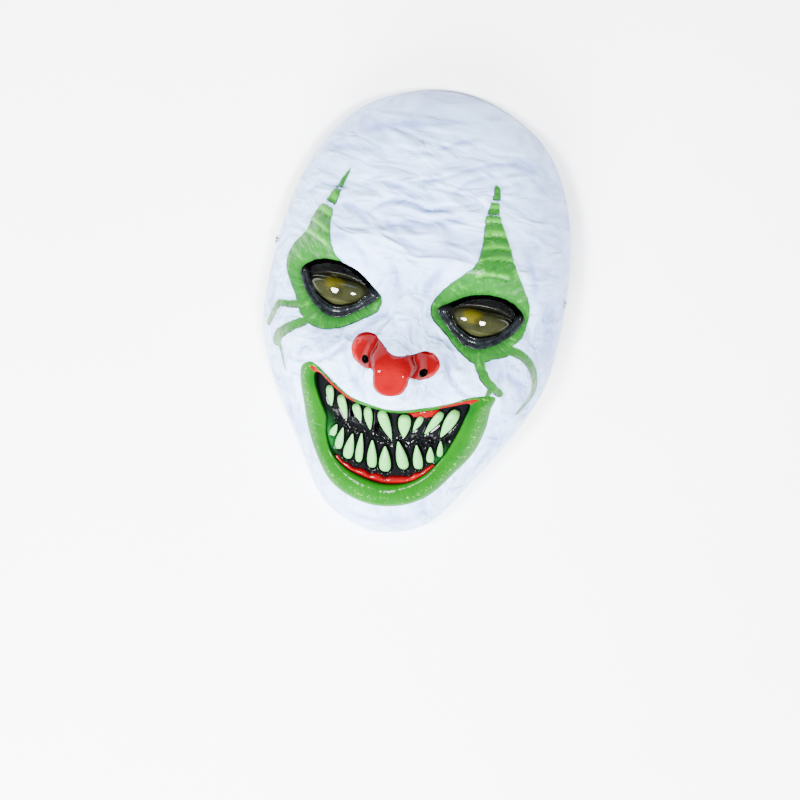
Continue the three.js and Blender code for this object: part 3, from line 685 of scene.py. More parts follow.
def green_lip_paint(colours):
    """Satin green acrylic on vinyl, deeper towards the mouth, with painted highlights dabbed lighter along
    the crest, painted shade in the corners of the mouth, and the red of the gums brushed over the upper edge."""
    material, tree, where = new_material("satin acrylic on PVC, green")
    across = field(tree, "across")
    inner = steps(tree, across, 0.2, 0.8, 0.25, 1.0)
    colour = mix(tree, inner, colours.green, colours.green_deep)
    outer = steps(tree, across, 0.2, 0.0, 0.0, 0.2)
    colour = mix(tree, outer, colour, colours.green_light)
    dabs = noise(tree, where, 1.7, 3.0)
    # Painted highlights: pale dabs along the roll's crest
    crest = math_node(tree, "MULTIPLY", field(tree, "crest"), steps(tree, dabs, 0.56, 0.7, 0.0, 0.6))
    colour = mix(tree, crest, colour, linear("#77B14B"))
    cloudy = steps(tree, noise(tree, where, 9.0, 4.0), 0.36, 0.66)
    colour = mix(tree, math_node(tree, "MULTIPLY", cloudy, 0.35), colour, colours.green_dark)
    # Painted shade in both corners of the mouth
    colour = mix(tree, field(tree, "corner"), colour, linear("#06380C"))
    red_edge = math_node(tree, "MULTIPLY_ADD", noise(tree, where, 2.2), 0.3, field(tree, "red"))
    colour = mix(tree, steps(tree, red_edge, 0.5, 0.65), colour, colours.red)
    pores = math_node(tree, "ADD", noise(tree, where, 1.3, 2.0), noise(tree, where, 6.0, 2.0))
    grain = bump(tree, pores, 0.5)
    finish_material(tree, **{
        "Base Color": colour, "Roughness": 0.5, "Specular IOR Level": 0.0, "Coat Weight": 0.4,
        "Coat IOR": 1.25, "Coat Roughness": 0.16, "Normal": grain,
    })
    return material


def red_lacquer(colours):
    """Gloss red lacquer over vinyl: wet-looking, with sharp lights, painted shade that deepens the red in the
    creases, round the nose's edge and down the lower gum's inner side, and painted highlights of lighter red
    on the nose's wings and along the lower gum's outer edge.
    """
    material, tree, where = new_material("gloss lacquer on PVC, red")
    cloudy = steps(tree, noise(tree, where, 8.0, 4.0), 0.45, 0.75, 0, 0.3)
    # Painted shade: the shade field deepens the red
    shade = math_node(tree, "ADD", field(tree, "shade"), cloudy)
    colour = mix(tree, shade, colours.red, linear("#480208"))
    # Painted highlight: the rim field lightens the red in patches
    light = math_node(tree, "MULTIPLY", field(tree, "rim"), steps(tree, noise(tree, where, 3.0), 0.3, 0.6))
    colour = mix(tree, light, colour, linear("#98262C"))
    ripple = bump(tree, noise(tree, where, 4.5, 1.0), 0.35)
    finish_material(tree, **{
        "Base Color": colour, "Roughness": 0.5, "Specular IOR Level": 0.0, "Coat Weight": 0.6,
        "Coat IOR": 1.25, "Coat Roughness": 0.05, "Normal": ripple,
    })
    return material


def black_enamel(colours):
    """Gloss black enamel in the mouth: charcoal on the webs, which catch thin bluish lights, and near black
    as painted shade in the grooves round the teeth and down the throat, a little darker below the bite."""
    material, tree, where = new_material("gloss enamel on PVC, black")
    # Painted shade: near black where the web field is low, in the grooves and the throat
    colour = mix(tree, field(tree, "web"), linear("#030304"), colours.charcoal)
    cloudy = steps(tree, noise(tree, where, 5.0, 4.0), 0.4, 0.7, 0.0, 0.5)
    colour = mix(tree, cloudy, colour, linear("#08090B"))
    colour = mix(tree, field(tree, "overspray"), colour, linear("#14521F"))
    red_edge = math_node(tree, "MULTIPLY_ADD", noise(tree, where, 2.0), 0.9, -0.45)
    red = steps(tree, math_node(tree, "ADD", field(tree, "red_patch"), red_edge), 0.4, -0.3)
    colour = mix(tree, red, colour, colours.red)
    ripple = bump(tree, noise(tree, where, 1.8, 2.0), 0.15, 0.7)
    finish_material(tree, **{
        "Base Color": colour, "Roughness": 0.4, "Specular IOR Level": 0.0, "Coat Weight": 0.4,
        "Coat Roughness": 0.08, "Normal": ripple,
    })
    return material


def glow_paint(colours):
    """Satin pale green glow paint: chalky and even, with painted shade that deepens it down each tooth's
    sides and a painted shadow of near black along its foot on the gum.
    """
    material, tree, where = new_material("satin glow paint on PVC, pale green")
    cloudy = steps(tree, noise(tree, where, 3.2, 4.0), 0.38, 0.68, 0.0, 0.5)
    colour = mix(tree, cloudy, colours.glow, colours.glow_deep)
    edge = math_node(tree, "MULTIPLY_ADD", noise(tree, where, 1.4), 0.25, field(tree, "edge"))
    # Painted shade down the tooth's sides, then a painted shadow of near black at its foot
    colour = mix(tree, steps(tree, edge, 0.5, 0.82, 0.0, 0.8), colour, colours.glow_deep)
    colour = mix(tree, steps(tree, edge, 0.86, 0.97), colour, linear("#040504"))
    colour = mix(tree, field(tree, "overspray"), colour, linear("#2F8A41"))
    grain = bump(tree, noise(tree, where, 0.8, 2.0), 0.08, 0.5)
    finish_material(tree, **{"Base Color": colour, "Roughness": 0.42, "IOR": 1.5, "Normal": grain})
    return material


def lid_enamel(colours):
    """Gloss charcoal enamel laid on thick with a brush, wet-looking along the inner roll; the upper lid is
    near black as painted shade, and less glossy.
    """
    material, tree, where = new_material("gloss enamel on PVC, charcoal")
    cloudy = steps(tree, noise(tree, where, 3.4, 4.0, 0.65), 0.36, 0.66)
    colour = mix(tree, cloudy, linear("#0B0C0F"), colours.lid)
    rough_edge = math_node(tree, "MULTIPLY_ADD", noise(tree, where, 1.6), 0.2, field(tree, "across"))
    colour = mix(tree, steps(tree, rough_edge, 0.2, 0.11, 0.0, 0.85), colour, colours.green_dark)
    # Painted shade: near black on the upper lid
    colour = mix(tree, field(tree, "upper"), colour, linear("#010101"))
    outside = steps(tree, field(tree, "across"), 0.4, 0.15)
    stipple = math_node(tree, "MULTIPLY", noise(tree, where, 1.3, 2.0), outside)
    ripple = bump(tree, math_node(tree, "MULTIPLY_ADD", noise(tree, where, 3.5, 1.0), 0.5, stipple), 0.12)
    gloss = steps(tree, field(tree, "upper"), 0.0, 1.0, 0.7, 0.0)
    finish_material(tree, **{
        "Base Color": colour, "Roughness": 0.5, "Specular IOR Level": 0.0, "Coat Weight": gloss,
        "Coat IOR": 1.35, "Coat Roughness": 0.18, "Normal": ripple,
    })
    return material


def eye_dome(colours):
    """Olive ABS dome under a thick clear coat: a deep yellow-green ball with glassy lights, a painted glow of
    warm light round the highlights near the top, a painted reflection of greyish olive low down and a painted
    shadow of the lids round its edge."""
    material, tree, where = new_material("clear-coated ABS, olive")
    # Painted light: a warm glow round the highlights
    painted_glow = math_node(tree, "MULTIPLY_ADD", noise(tree, where, 5.0, 3.0), 0.5, field(tree, "painted_glow"))
    colour = mix(tree, steps(tree, painted_glow, 0.5, 1.1), colours.olive, colours.olive_warm)
    # Painted reflection of a pale surround, greyish olive low on the ball
    low = math_node(tree, "MULTIPLY_ADD", noise(tree, where, 6.0, 2.0), 0.3, field(tree, "low"))
    colour = mix(tree, steps(tree, low, 0.55, 0.8, 0.0, 0.7), colour, linear("#34361F"))
    pupil = math_node(tree, "MULTIPLY_ADD", noise(tree, where, 4.0, 4.0), 0.5, field(tree, "pupil"))
    colour = mix(tree, steps(tree, pupil, 0.85, 0.45, 0.0, 0.7), colour, linear("#131405"))
    flecks = steps(tree, noise(tree, where, 1.8, 4.0, 0.7), 0.52, 0.72, 0.0, 0.3)
    colour = mix(tree, flecks, colour, linear("#403E12"))
    # Painted shadow of the lids: near black at the ends and round the turned-down rim
    edge = math_node(tree, "MULTIPLY_ADD", noise(tree, where, 3.0, 2.0), 0.1, field(tree, "radius"))
    colour = mix(tree, steps(tree, edge, 0.84, 1.02, 0.0, 0.9), colour, linear("#0A0B06"))
    finish_material(tree, **{
        "Base Color": colour, "Roughness": 0.6, "Specular IOR Level": 0.0, "Coat Weight": 1.0,
        "Coat IOR": 1.35, "Coat Roughness": 0.04,
    })
    return material


def woven_elastic():
    """Woven polyester elastic: ribs of covered rubber run along it, crossed by fine weft."""
    material, tree, where = new_material("woven polyester elastic, white")
    along = add(tree, "ShaderNodeSeparateXYZ", {0: where}).outputs[0]
    weft = math_node(tree, "SINE", math_node(tree, "MULTIPLY", along, 2 * math.pi / (0.6 * MM)))
    cloudy = noise(tree, where, 4.0, 3.0)
    colour = mix(tree, cloudy, linear("#D3D3CF"), linear("#E4E4E1"))
    grain = bump(tree, math_node(tree, "MULTIPLY_ADD", weft, 0.5, noise(tree, where, 0.4)), 0.1)
    finish_material(tree, **{
        "Base Color": colour, "Roughness": 0.85, "Sheen Weight": 0.3, "Sheen Roughness": 0.5, "Normal": grain,
    })
    return material


def pressed_steel():
    """Nickel-plated pressed steel with light scuffs."""
    material, tree, where = new_material("pressed steel, nickel-plated")
    scuffs = steps(tree, noise(tree, where, 0.8, 4.0), 0.4, 0.7, 0.22, 0.4)
    finish_material(tree, **{"Base Color": linear("#BFC1C3"), "Metallic": 1.0, "Roughness": scuffs})
    return material


def plain_floor(colours):
    """Pale matte studio paper."""
    material, tree, where = new_material("matte paper, pale")
    colour = mix(tree, noise(tree, where, 90.0, 2.0), colours.floor, linear("#F4F4F6"))
    finish_material(tree, **{"Base Color": colour, "Roughness": 0.9, "Specular IOR Level": 0.2})
    return material


# Shapes

def disc_grid(columns, rows):
    """An even grid over a disc: share of the radius, angle, and quads"""
    u, v = np.meshgrid(np.linspace(-1, 1, columns + 1), np.linspace(-1, 1, rows + 1), indexing="ij")
    u = u.ravel()
    v = v.ravel()
    sideways = np.abs(u) > np.abs(v)
    safe_u = np.where(sideways, u, 1)
    safe_v = np.where(sideways | (v == 0), 1, v)
    angle = np.where(
        sideways,
        np.pi / 4 * v / safe_u + np.where(u < 0, np.pi, 0),
        np.pi / 2 - np.pi / 4 * u / safe_v + np.where(v < 0, np.pi, 0),
    )
    return np.maximum(np.abs(u), np.abs(v)), angle, grid_faces(columns + 1, rows + 1, False)


def open_hole(x, y, quads, middle, reach, side=1):
    """Takes out the quads inside an outline and draws the cut edge onto it"""
    across = side * (x - side * middle[0])
    angle = np.arctan2(y - middle[1], across)
    inside = np.hypot(across, y - middle[1]) < reach(angle)
    quads = quads[~inside[quads].all(axis=1)]
    edge = np.zeros(len(x), bool)
    edge[quads.ravel()] = True
    edge &= inside
    to_x, to_y = on_spokes(middle, angle, reach(angle))
    return np.where(edge, side * to_x, x), np.where(edge, to_y, y), quads


def gap_outside(x, y, middle, reach, side=1):
    """How far outside an outline each point is, along its spoke"""
    across = side * (x - side * middle[0])
    return np.hypot(across, y - middle[1]) - reach(np.arctan2(y - middle[1], across))


def green_distance(points):
    """Distance to the edge of the green paint, negative inside it"""
    away = np.full(len(points), 50.0)
    for patch in PATCHES.values():
        away = np.minimum(away, signed_distance(points, smooth_line(patch, closed=True, samples=160)))
    for wide_from, wide_to, line in WHISKERS:
        gap, share = distance_to(points, smooth_line(line, samples=40))
        away = np.minimum(away, gap - lerp(wide_from, wide_to, share))
    for half, line in SPIKE_GAPS:
        gap, _ = distance_to(points, np.array(line, float))
        away = np.maximum(away, half - gap)
    return away


def spike_bands(x, y):
    """Ridges across the green spikes: a painted highlight along each crest over painted shade in the fold
    below it
    """
    light = np.zeros(len(x))
    dark = np.zeros(len(x))
    for at_x, at_y, half, tall, slope in SPIKE_BANDS:
        over = y - at_y - slope * (x - at_x) + 0.02 * (x - at_x) ** 2
        near = smoothstep(-np.abs(x - at_x), -half - 2, -half)
        light = np.maximum(light, near * np.exp(-(over / tall) ** 2))
        dark = np.maximum(dark, near * np.exp(-((over + 1.5 * tall) / (0.5 * tall)) ** 2))
    return light, dark


def face_fields(x, y, share):
    """Relief of the face's white and green areas, and the fields that its paint follows"""
    points = np.stack([x, y], -1)
    folds, valley = wrinkle(points, CREASES)
    green = green_distance(points)
    inside = smoothstep(-green, -0.6, 0.8)
    band, band_shade = spike_bands(x, y)
    side = np.where(x > 0, 1, -1)
    across = side * x - EYE_MIDDLE[0]
    up = y - EYE_MIDDLE[1]
    turn = np.arctan2(up, across)
    radius = np.hypot(across, up)
    stroke = np.stack([18 * np.cos(turn), 18 * np.sin(turn) * side, 0.24 * radius], -1)
    spike = smoothstep(y, 46, 56)
    ridges = lerp(value_noise(turn * 20, radius, (2.1, 8), 11), value_noise(x, y, (9, 2.6), 12), spike)
    forehead = smoothstep(y, 25, 60)
    puffs = lerp(0.8 * value_noise(x, y, (15, 13), 21), 1.0 * value_noise(x, y, (28, 8), 22), forehead)
    fine = 0.16 * value_noise(x, y, (5.5, 3), 23) + 0.08 * value_noise(x, y, (2.4, 1.8), 24)
    clear = np.full(len(x), np.inf)
    for middle, reach, hand in HOLES:
        clear = np.minimum(clear, gap_outside(x, y, middle, reach, hand))
    fade = (1 - share ** 6) * smoothstep(clear, 0.5, 4.5)
    relief = fade * (folds + puffs + fine + inside * (0.3 * ridges + 0.15 + 0.8 * band - 0.5 * band_shade))
    shade_spots = np.zeros(len(x))
    for strength, at_x, at_y, wide, tall in PAINTED_SHADE_SPOTS:
        shade_spots += strength * soft_spot(x, y, at_x, at_y, wide, tall)
    mottled = 0.12 * value_noise(x, y, (16, 6), 25) + 0.1 * value_noise(x, y, (6, 3), 26)
    # Painted shade: the white darkens towards lavender in the creases' valleys and at the listed spots, with
    # random mottling on top
    shade = np.clip(0.75 * valley + 0.8 * shade_spots + mottled - 0.1, 0, 1)
    lid = smoothstep(-np.abs(gap_outside(x, y, EYE_MIDDLE, lid_outer, 1) * (x > 0)
                             + gap_outside(x, y, EYE_MIDDLE, lid_outer, -1) * (x <= 0)), -3.0, 0.0)
    fields = {
        "green": green, "shade": shade, "stroke": stroke, "spike": spike, "lid": lid, "band": 0.8 * band,
        "band_shade": 0.8 * band_shade,
    }
    return relief, fields


OVERLAP = 1.0
HOLES = [
    (NOSE_MIDDLE, lambda angle: nose_reach(angle) - OVERLAP, 1),
    (MOUTH_MIDDLE, lambda angle: lip_outer(angle) - OVERLAP, 1),
    (EYE_MIDDLE, lambda angle: lid_outer(angle) - OVERLAP, 1),
    (EYE_MIDDLE, lambda angle: lid_outer(angle) - OVERLAP, -1),
]


def build_face(materials):
    share, angle, quads = disc_grid(*FACE_GRID)
    share = lerp(share, np.sin(share * np.pi / 2), share ** 3)
    x, y, _ = face_at(share, angle).T
    for middle, reach, side in HOLES:
        x, y, quads = open_hole(x, y, quads, middle, reach, side)
    moved_share, moved_angle = share_at(x, y)
    rim = share > 0.9999
    share = np.where(rim, share, moved_share)
    angle = np.where(rim, angle, moved_angle)
    top = face_at(share, angle)
    under = face_at(share, angle, WALL)
    relief, fields = face_fields(top[:, 0], top[:, 1], share)
    top[:, 2] += relief
    points, faces, used, outer = thick_sheet(top, under, quads)
    fields = both_sides(fields, used)
    face = make_mesh("face", points, faces, "face_shell", fields)
    face.data.materials.append(materials["white"])
    face.data.materials.append(materials["inside"])
    shaded_back(face, slice(outer, 2 * outer))


def build_nose(materials):
    share, angle, quads = disc_grid(*NOSE_GRID)
    x, y = on_spokes(NOSE_MIDDLE, angle, share * nose_reach(angle))
    spot = PLACES["nose"]
    for out, up in NOSTRILS:
        middle = (spot["x"] + out * spot["wide"], spot["y"] + up * spot["tall"])
        x, y, quads = open_hole(x, y, quads, middle, lambda at: NOSTRIL / 2 + 0 * at)
    folds, valley = wrinkle(np.stack([x, y], -1), NOSE_CREASES)
    edge = -gap_outside(x, y, NOSE_MIDDLE, nose_reach)
    step = -0.3 + 1.3 * smoothstep(edge, 0, 3.4)
    rim = np.zeros(len(x))
    for at_x in (-19.0, 20.0):
        ring = np.hypot(x - at_x, y + 13)
        rim = np.maximum(rim, np.exp(-((ring - 6.0) / 1.5) ** 2) * smoothstep(np.abs(x), 13, 16))
    dents = 0.12 * value_noise(x, y, (5, 5), 31)
    height = face_height(x, y)
    top = np.stack([x, y, height + step + folds + 0.5 * rim + dents], -1)
    under = np.stack([x, y, height - WALL], -1)
    # Painted shade in the nose's creases and round its edge
    shade = np.clip(0.8 * valley + 0.5 * smoothstep(-edge, -1.2, 0), 0, 1)
    # Painted highlight on the outer part of the rings of the nose's wings
    light = np.clip(rim * smoothstep(np.abs(x), 17, 22), 0, 1)
    points, faces, used, outer = thick_sheet(top, under, quads)
    fields = both_sides({"shade": shade, "rim": light}, used)
    nose = make_mesh("nose_painted", points, faces, "nose", fields)
    nose.data.materials.append(materials["red"])
    nose.data.materials.append(materials["inside"])
    shaded_back(nose, slice(outer, None))


def rolled_band(middle, outer, inner, stations, roll, floor, section, relief):
    """A rolled band round an opening, with a skirt that hangs down to a floor. Gives its upper and under
    points, its quads, and for each point its share across the band and its angle."""
    angle = (np.arange(stations) + 0.5) * 2 * np.pi / stations - np.pi
    width = outer(angle) - inner(angle)
    rows = []
    for across, lift in section:
        x, y = on_spokes(middle, angle, lerp(outer(angle), inner(angle), across))
        bulk = width / width.max()
        height = face_height(x, y) + lift * roll * bulk + relief(x, y, angle, across, width)
        rows.append((x, y, height, np.full(stations, across)))
    x, y = on_spokes(middle, angle, inner(angle))
    base = floor(x, y)
    for share in (0.35, 0.7, 1.0):
        rows.append((x, y, lerp(rows[len(section) - 1][2], base, share), np.full(stations, 1 + share)))
    top = np.stack([np.stack(row[:3], -1) for row in rows]).reshape(-1, 3)
    across = np.concatenate([row[3] for row in rows])
    turned = np.tile(angle, len(rows))
    out = smoothstep(across, 0.7, 1.05)
    lift = WALL * (1 - out)
    away = WALL * out
    under = top - np.stack([-away * np.cos(turned), -away * np.sin(turned), lift], -1)
    return top, under, grid_faces(len(rows), stations, True), across, turned


LIP_SECTION = [(0, -0.12), (0.06, 0.25), (0.18, 0.7), (0.45, 1), (0.75, 0.85), (0.93, 0.35), (1, -0.3)]
LID_SECTION = [
    (0, -0.2), (0.07, 0.3), (0.2, 0.78), (0.36, 0.75), (0.5, 0.42), (0.62, 0.62), (0.73, 1), (0.83, 0.72),
    (0.89, 0.4), (0.95, 0.55), (1, -0.2),
]


def build_lips(materials):
    def relief(x, y, angle, across, width):
        along = angle * LIP_ARC
        inward = across * width
        swell = np.sin(np.pi * np.clip(across, 0, 1)) * smoothstep(width, 2, 8)
        creased = 0.09 * value_noise(along, inward, (1.9, 7), 41)
        creased += 0.06 * value_noise(along, inward, (0.9, 3), 42)
        return swell * (creased + 0.45 * value_noise(along, inward, (11, 9), 43))

    section = smooth_line(LIP_SECTION, samples=36)
    top, under, quads, across, angle = rolled_band(
        MOUTH_MIDDLE, lip_outer, lip_inner, LIP_STATIONS, LIP_ROLL,
        lambda x, y: gum_height(x, y) + FIT_GAP, section, relief)
    x, y, _ = top.T
    upper = smoothstep(np.sin(angle), 0.05, 0.25)
    left = upper * smoothstep(-x, 16, 20) * smoothstep(-angle, -2.57, -2.5)
    right = upper * smoothstep(x, 29, 33) * smoothstep(angle, 0.64, 0.7)
    full = smoothstep(lip_outer(angle) - lip_inner(angle), 5, 9)
    red = (left + right) * smoothstep(across, 0.28, 0.48)
    # Painted shade at the mouth's corners, on the inner part of the roll
    corner = soft_spot(x, y, 49, -36, 5, 8) * smoothstep(across, 0.4, 0.9)
    corner += soft_spot(x, y, -46, -40, 4, 9) * smoothstep(across, 0.5, 1.0)
    # Where the painted highlights go: along the crest of the wider parts of the roll
    crest = np.exp(-((across - 0.33) / 0.13) ** 2) * full
    fields = {"across": across, "red": red, "corner": np.clip(corner, 0, 1), "crest": crest}
    points, faces, used, _ = thick_sheet(top, under, quads)
    fields = both_sides(fields, used)
    lips = make_mesh("lips_painted", points, faces, "lips", fields, 60)
    lips.data.materials.append(materials["green"])


def tooth_line(row):
    """A tooth's root and tip, its half width and the direction across it"""
    spot = PLACES["mouth"]
    base = np.array([spot["x"] + row[0] * spot["wide"], spot["y"] + row[1] * spot["tall"]])
    tip = np.array([spot["x"] + row[2] * spot["wide"], spot["y"] + row[3] * spot["tall"]])
    way = (tip - base) / np.linalg.norm(tip - base)
    return base, tip, row[4] * TOOTH_WIDTH / 2, np.array([-way[1], way[0]])


def tooth_outline(row):
    base, tip, half, side = tooth_line(row)
    along = TOOTH_SECTIONS["along"][:, None]
    wide = TOOTH_SECTIONS["wide"][:, None] * half
    middle = base + along * (tip - base)
    return np.vstack([middle + wide * side, (middle - wide * side)[::-1][1:-1]])


def build_gums(materials):
    share, angle, quads = disc_grid(*GUM_GRID)
    reach = lip_inner(angle) + WALL - 0.2
    x, y = on_spokes(MOUTH_MIDDLE, angle, share * reach)
    spot = PLACES["mouth"]
    for out, up in AIR_HOLES:
        middle = (spot["x"] + out * spot["wide"], spot["y"] + up * spot["tall"])

        def oval(at):
            return 0.5 / np.hypot(np.cos(at) / AIR_HOLE[0], np.sin(at) / AIR_HOLE[1])

        x, y, quads = open_hole(x, y, quads, middle, oval)
    points = np.stack([x, y], -1)
    to_upper = np.min([signed_distance(points, tooth_outline(row)) for row in UPPER_TEETH], axis=0)
    to_lower = np.min([signed_distance(points, tooth_outline(row)) for row in LOWER_TEETH], axis=0)
    gap = np.minimum(to_upper, to_lower)
    out = (x - spot["x"]) / spot["wide"]
    bite = spot["y"] + spot["tall"] * (0.08 + 0.3 * out ** 2)
    above = smoothstep(y - bite, -3, 5)
    web = smoothstep(gap, 0.45, 1.9)
    lip_gap = -gap_outside(x, y, MOUTH_MIDDLE, lip_inner)
    fade = smoothstep(lip_gap, 0.0, 2.5)
    throat = np.exp(-((y - bite) / 4.0) ** 2) * smoothstep(gap, 0.8, 3.5)
    pleats = value_noise(x, y, (1.5, 11), 51) + 0.5 * value_noise(x, y, (0.9, 5), 52)
    waves = value_noise(x, y, (2.6, 3.2), 53)
    relief = web * lerp(1.5 + 0.4 * pleats + 0.15 * waves, 1.0 + 0.12 * pleats, above)
    relief = relief - 2.6 * throat + 0.5 * waves * throat
    red_patch = signed_distance(points, smooth_line(RED_PATCH, closed=True, samples=60))
    relief += 1.2 * smoothstep(-red_patch, -0.8, 1.2)
    height = gum_height(x, y)
    top = np.stack([x, y, height + fade * relief], -1)
    under = np.stack([x, y, height - WALL], -1)
    overspray = 0.75 * soft_spot(x, y, -31, -74, 6, 11) * smoothstep(lip_gap, 9, 2)
    overspray += 0.5 * soft_spot(x, y, 36, -70, 4, 7) * smoothstep(lip_gap, 6, 1)
    fields = {
        # The web field falls as painted shade towards the grooves round the teeth and down the throat, and is
        # lower below the bite
        "web": web * lerp(0.75, 1.0, above) * (1 - 0.8 * throat),
        "overspray": np.clip(overspray, 0, 1),
        "red_patch": red_patch,
    }
    points, faces, used, _ = thick_sheet(top, under, quads)
    fields = both_sides(fields, used)
    gums = make_mesh("gums_painted", points, faces, "gums", fields)
    gums.data.materials.append(materials["black"])


def build_lower_gum(materials):
    stations = LOWER_GUM_STATIONS
    along = np.linspace(0, 1, stations)
    angle = lerp(GUM_FROM, GUM_TO, along)
    swell = np.sqrt(np.sin(np.pi * lerp(GUM_TAPER, 1 - GUM_TAPER, along)))
    roots = [tooth_line(row)[0] for row in LOWER_TEETH]
    root_angle = [math.atan2(root[1] - MOUTH_MIDDLE[1], root[0] - MOUTH_MIDDLE[0]) for root in roots]
    arch = np.max([np.exp(-((angle - at) * LOWER_GUM_ARC / 2.6) ** 2) for at in root_angle], axis=0)
    section = smooth_line([(0, 0), (0, 0.6), (0.3, 1), (0.7, 0.85), (1, 0.3), (1, 0)], samples=30)
    rows = []
    for across, lift in section:
        reach = lip_inner(angle) - FIT_GAP - across * GUM_WIDTH * swell * (1.25 - 0.35 * arch)
        x, y = on_spokes(MOUTH_MIDDLE, angle, reach)
        lumps = 0.35 * value_noise(angle * LOWER_GUM_ARC, across * 4, (3.2, 2), 61) * min(1, lift * 2)
        height = gum_height(x, y) + FIT_GAP + (lift * GUM_RISE * swell * 0.94 + lumps * swell)
        rows.append(np.stack([x, y, height], -1))
    points = np.stack(rows, 1).reshape(-1, 3)
    across = np.tile(section[:, 0], stations)
    # Painted shade down the gum's inner side, and a painted highlight along its outer edge by the lip
    shade = 0.9 * smoothstep(across, 0.8, 1.0)
    rim = smoothstep(-across, -0.12, 0.0) * 0.9
    fields = {"shade": shade, "rim": rim}
    faces = tube_faces(stations, len(rows))
    gum = make_mesh("lower_gum_painted", points, faces, "lower_gum", fields)
    gum.data.materials.append(materials["red"])


def build_tooth(name, row, material):
    base, tip, half, side = tooth_line(row)
    profile = np.stack([TOOTH_SECTIONS["along"], TOOTH_SECTIONS["wide"]], -1)[1:-1]
    section = smooth_line(profile, samples=TOOTH_STATIONS)
    turn = np.arange(TOOTH_SIDES) * 2 * np.pi / TOOTH_SIDES
    rings = []
    for along, wide in section:
        across = wide * half * np.sin(turn)
        rise = wide * half * 0.8 * (1 + np.cos(turn))
        flat = base + along * (tip - base) + across[:, None] * side
        height = gum_height(flat[:, 0], flat[:, 1]) + FIT_GAP + TOOTH_LIFT * along ** 2 + rise
        rings.append(np.column_stack([flat, height]))
    points = np.stack(rings).reshape(-1, 3)
    count = len(rings)
    faces = grid_faces(count, TOOTH_SIDES, True)
    ends = []
    for ring in (0, count - 1):
        middle = len(points)
        start = ring * TOOTH_SIDES
        points = np.vstack([points, points[start:start + TOOTH_SIDES].mean(axis=0)])
        ahead = start + (np.arange(TOOTH_SIDES) + 1) % TOOTH_SIDES
        hub = np.full(TOOTH_SIDES, middle)
        fan = np.stack([hub, start + np.arange(TOOTH_SIDES), ahead, hub], -1)
        ends.append(fan if ring else fan[:, ::-1])
    faces = np.concatenate([faces] + ends)
    # The edge field runs from the top of the tooth to its underside, for the painted shade and shadow
    edge = np.concatenate([np.tile((1 - np.cos(turn)) / 2, count), [0.5, 0.5]])
    x, y, _ = points.T
    overspray = 0.6 * soft_spot(x, y, -32, -76, 7, 10)
    overspray += 0.45 * soft_spot(x, y, 37, -70, 4, 6)
    fields = {"edge": edge, "overspray": np.clip(overspray, 0, 1)}
    tooth = make_mesh(f"{name}_painted", points, faces, name, fields, 80)
    tooth.data.materials.append(material)


def build_teeth(materials):
    for kind, rows in (("upper", UPPER_TEETH), ("lower", LOWER_TEETH)):
        for number, row in enumerate(rows, 1):
            build_tooth(f"{kind}_tooth_{number}", row, materials["glow"])


def mirror(points, side):
    return points * np.array([side, 1, 1])


def lid_opening(angle):
    """The lid's inner edge, drawn in further at both corners of the eye"""
    corners = np.exp(-((np.abs(np.cos(angle)) - 1) / 0.05) ** 2)
    return lid_inner(angle) - 2.2 * corners


def build_eyelids(materials):
    def rough_outer(angle):
        return lid_outer(angle) + 0.2 * value_noise(angle * LID_ARC, angle * 0, (2.6, 5), 71)

    def relief(x, y, angle, across, width):
        outer_half = smoothstep(-across, -0.5, -0.1) * smoothstep(across, 0, 0.1)
        along = angle * LID_ARC
        lumps = 0.12 * value_noise(along, across * width, (7, 3), 73)
        brushed = outer_half * 0.08 * value_noise(along, across * width, (3.0, 4), 72)
        return smoothstep(width, 1, 6) * (brushed + lumps)

    for name, side in (("eyelid_right", 1), ("eyelid_left", -1)):
        top, under, quads, across, angle = rolled_band(
            EYE_MIDDLE, rough_outer, lid_opening, LID_STATIONS, LID_ROLL,
            lambda x, y: face_height(x, y) - LID_SKIRT, smooth_line(LID_SECTION, samples=50), relief)
        points, faces, used, _ = thick_sheet(top, under, quads)
        # The upper field marks the upper lid, where the paint puts painted shade
        upper = smoothstep(np.sin(angle), 0.0, 0.35)
        fields = both_sides({"across": across, "upper": upper}, used)
        lid = make_mesh(f"{name}_painted", mirror(points, side), faces, name, fields, 60)
        lid.data.materials.append(materials["lid"])


EYEBALL_CURVE = 34.0
EYEBALL_LEAN = (-0.1, -0.03)


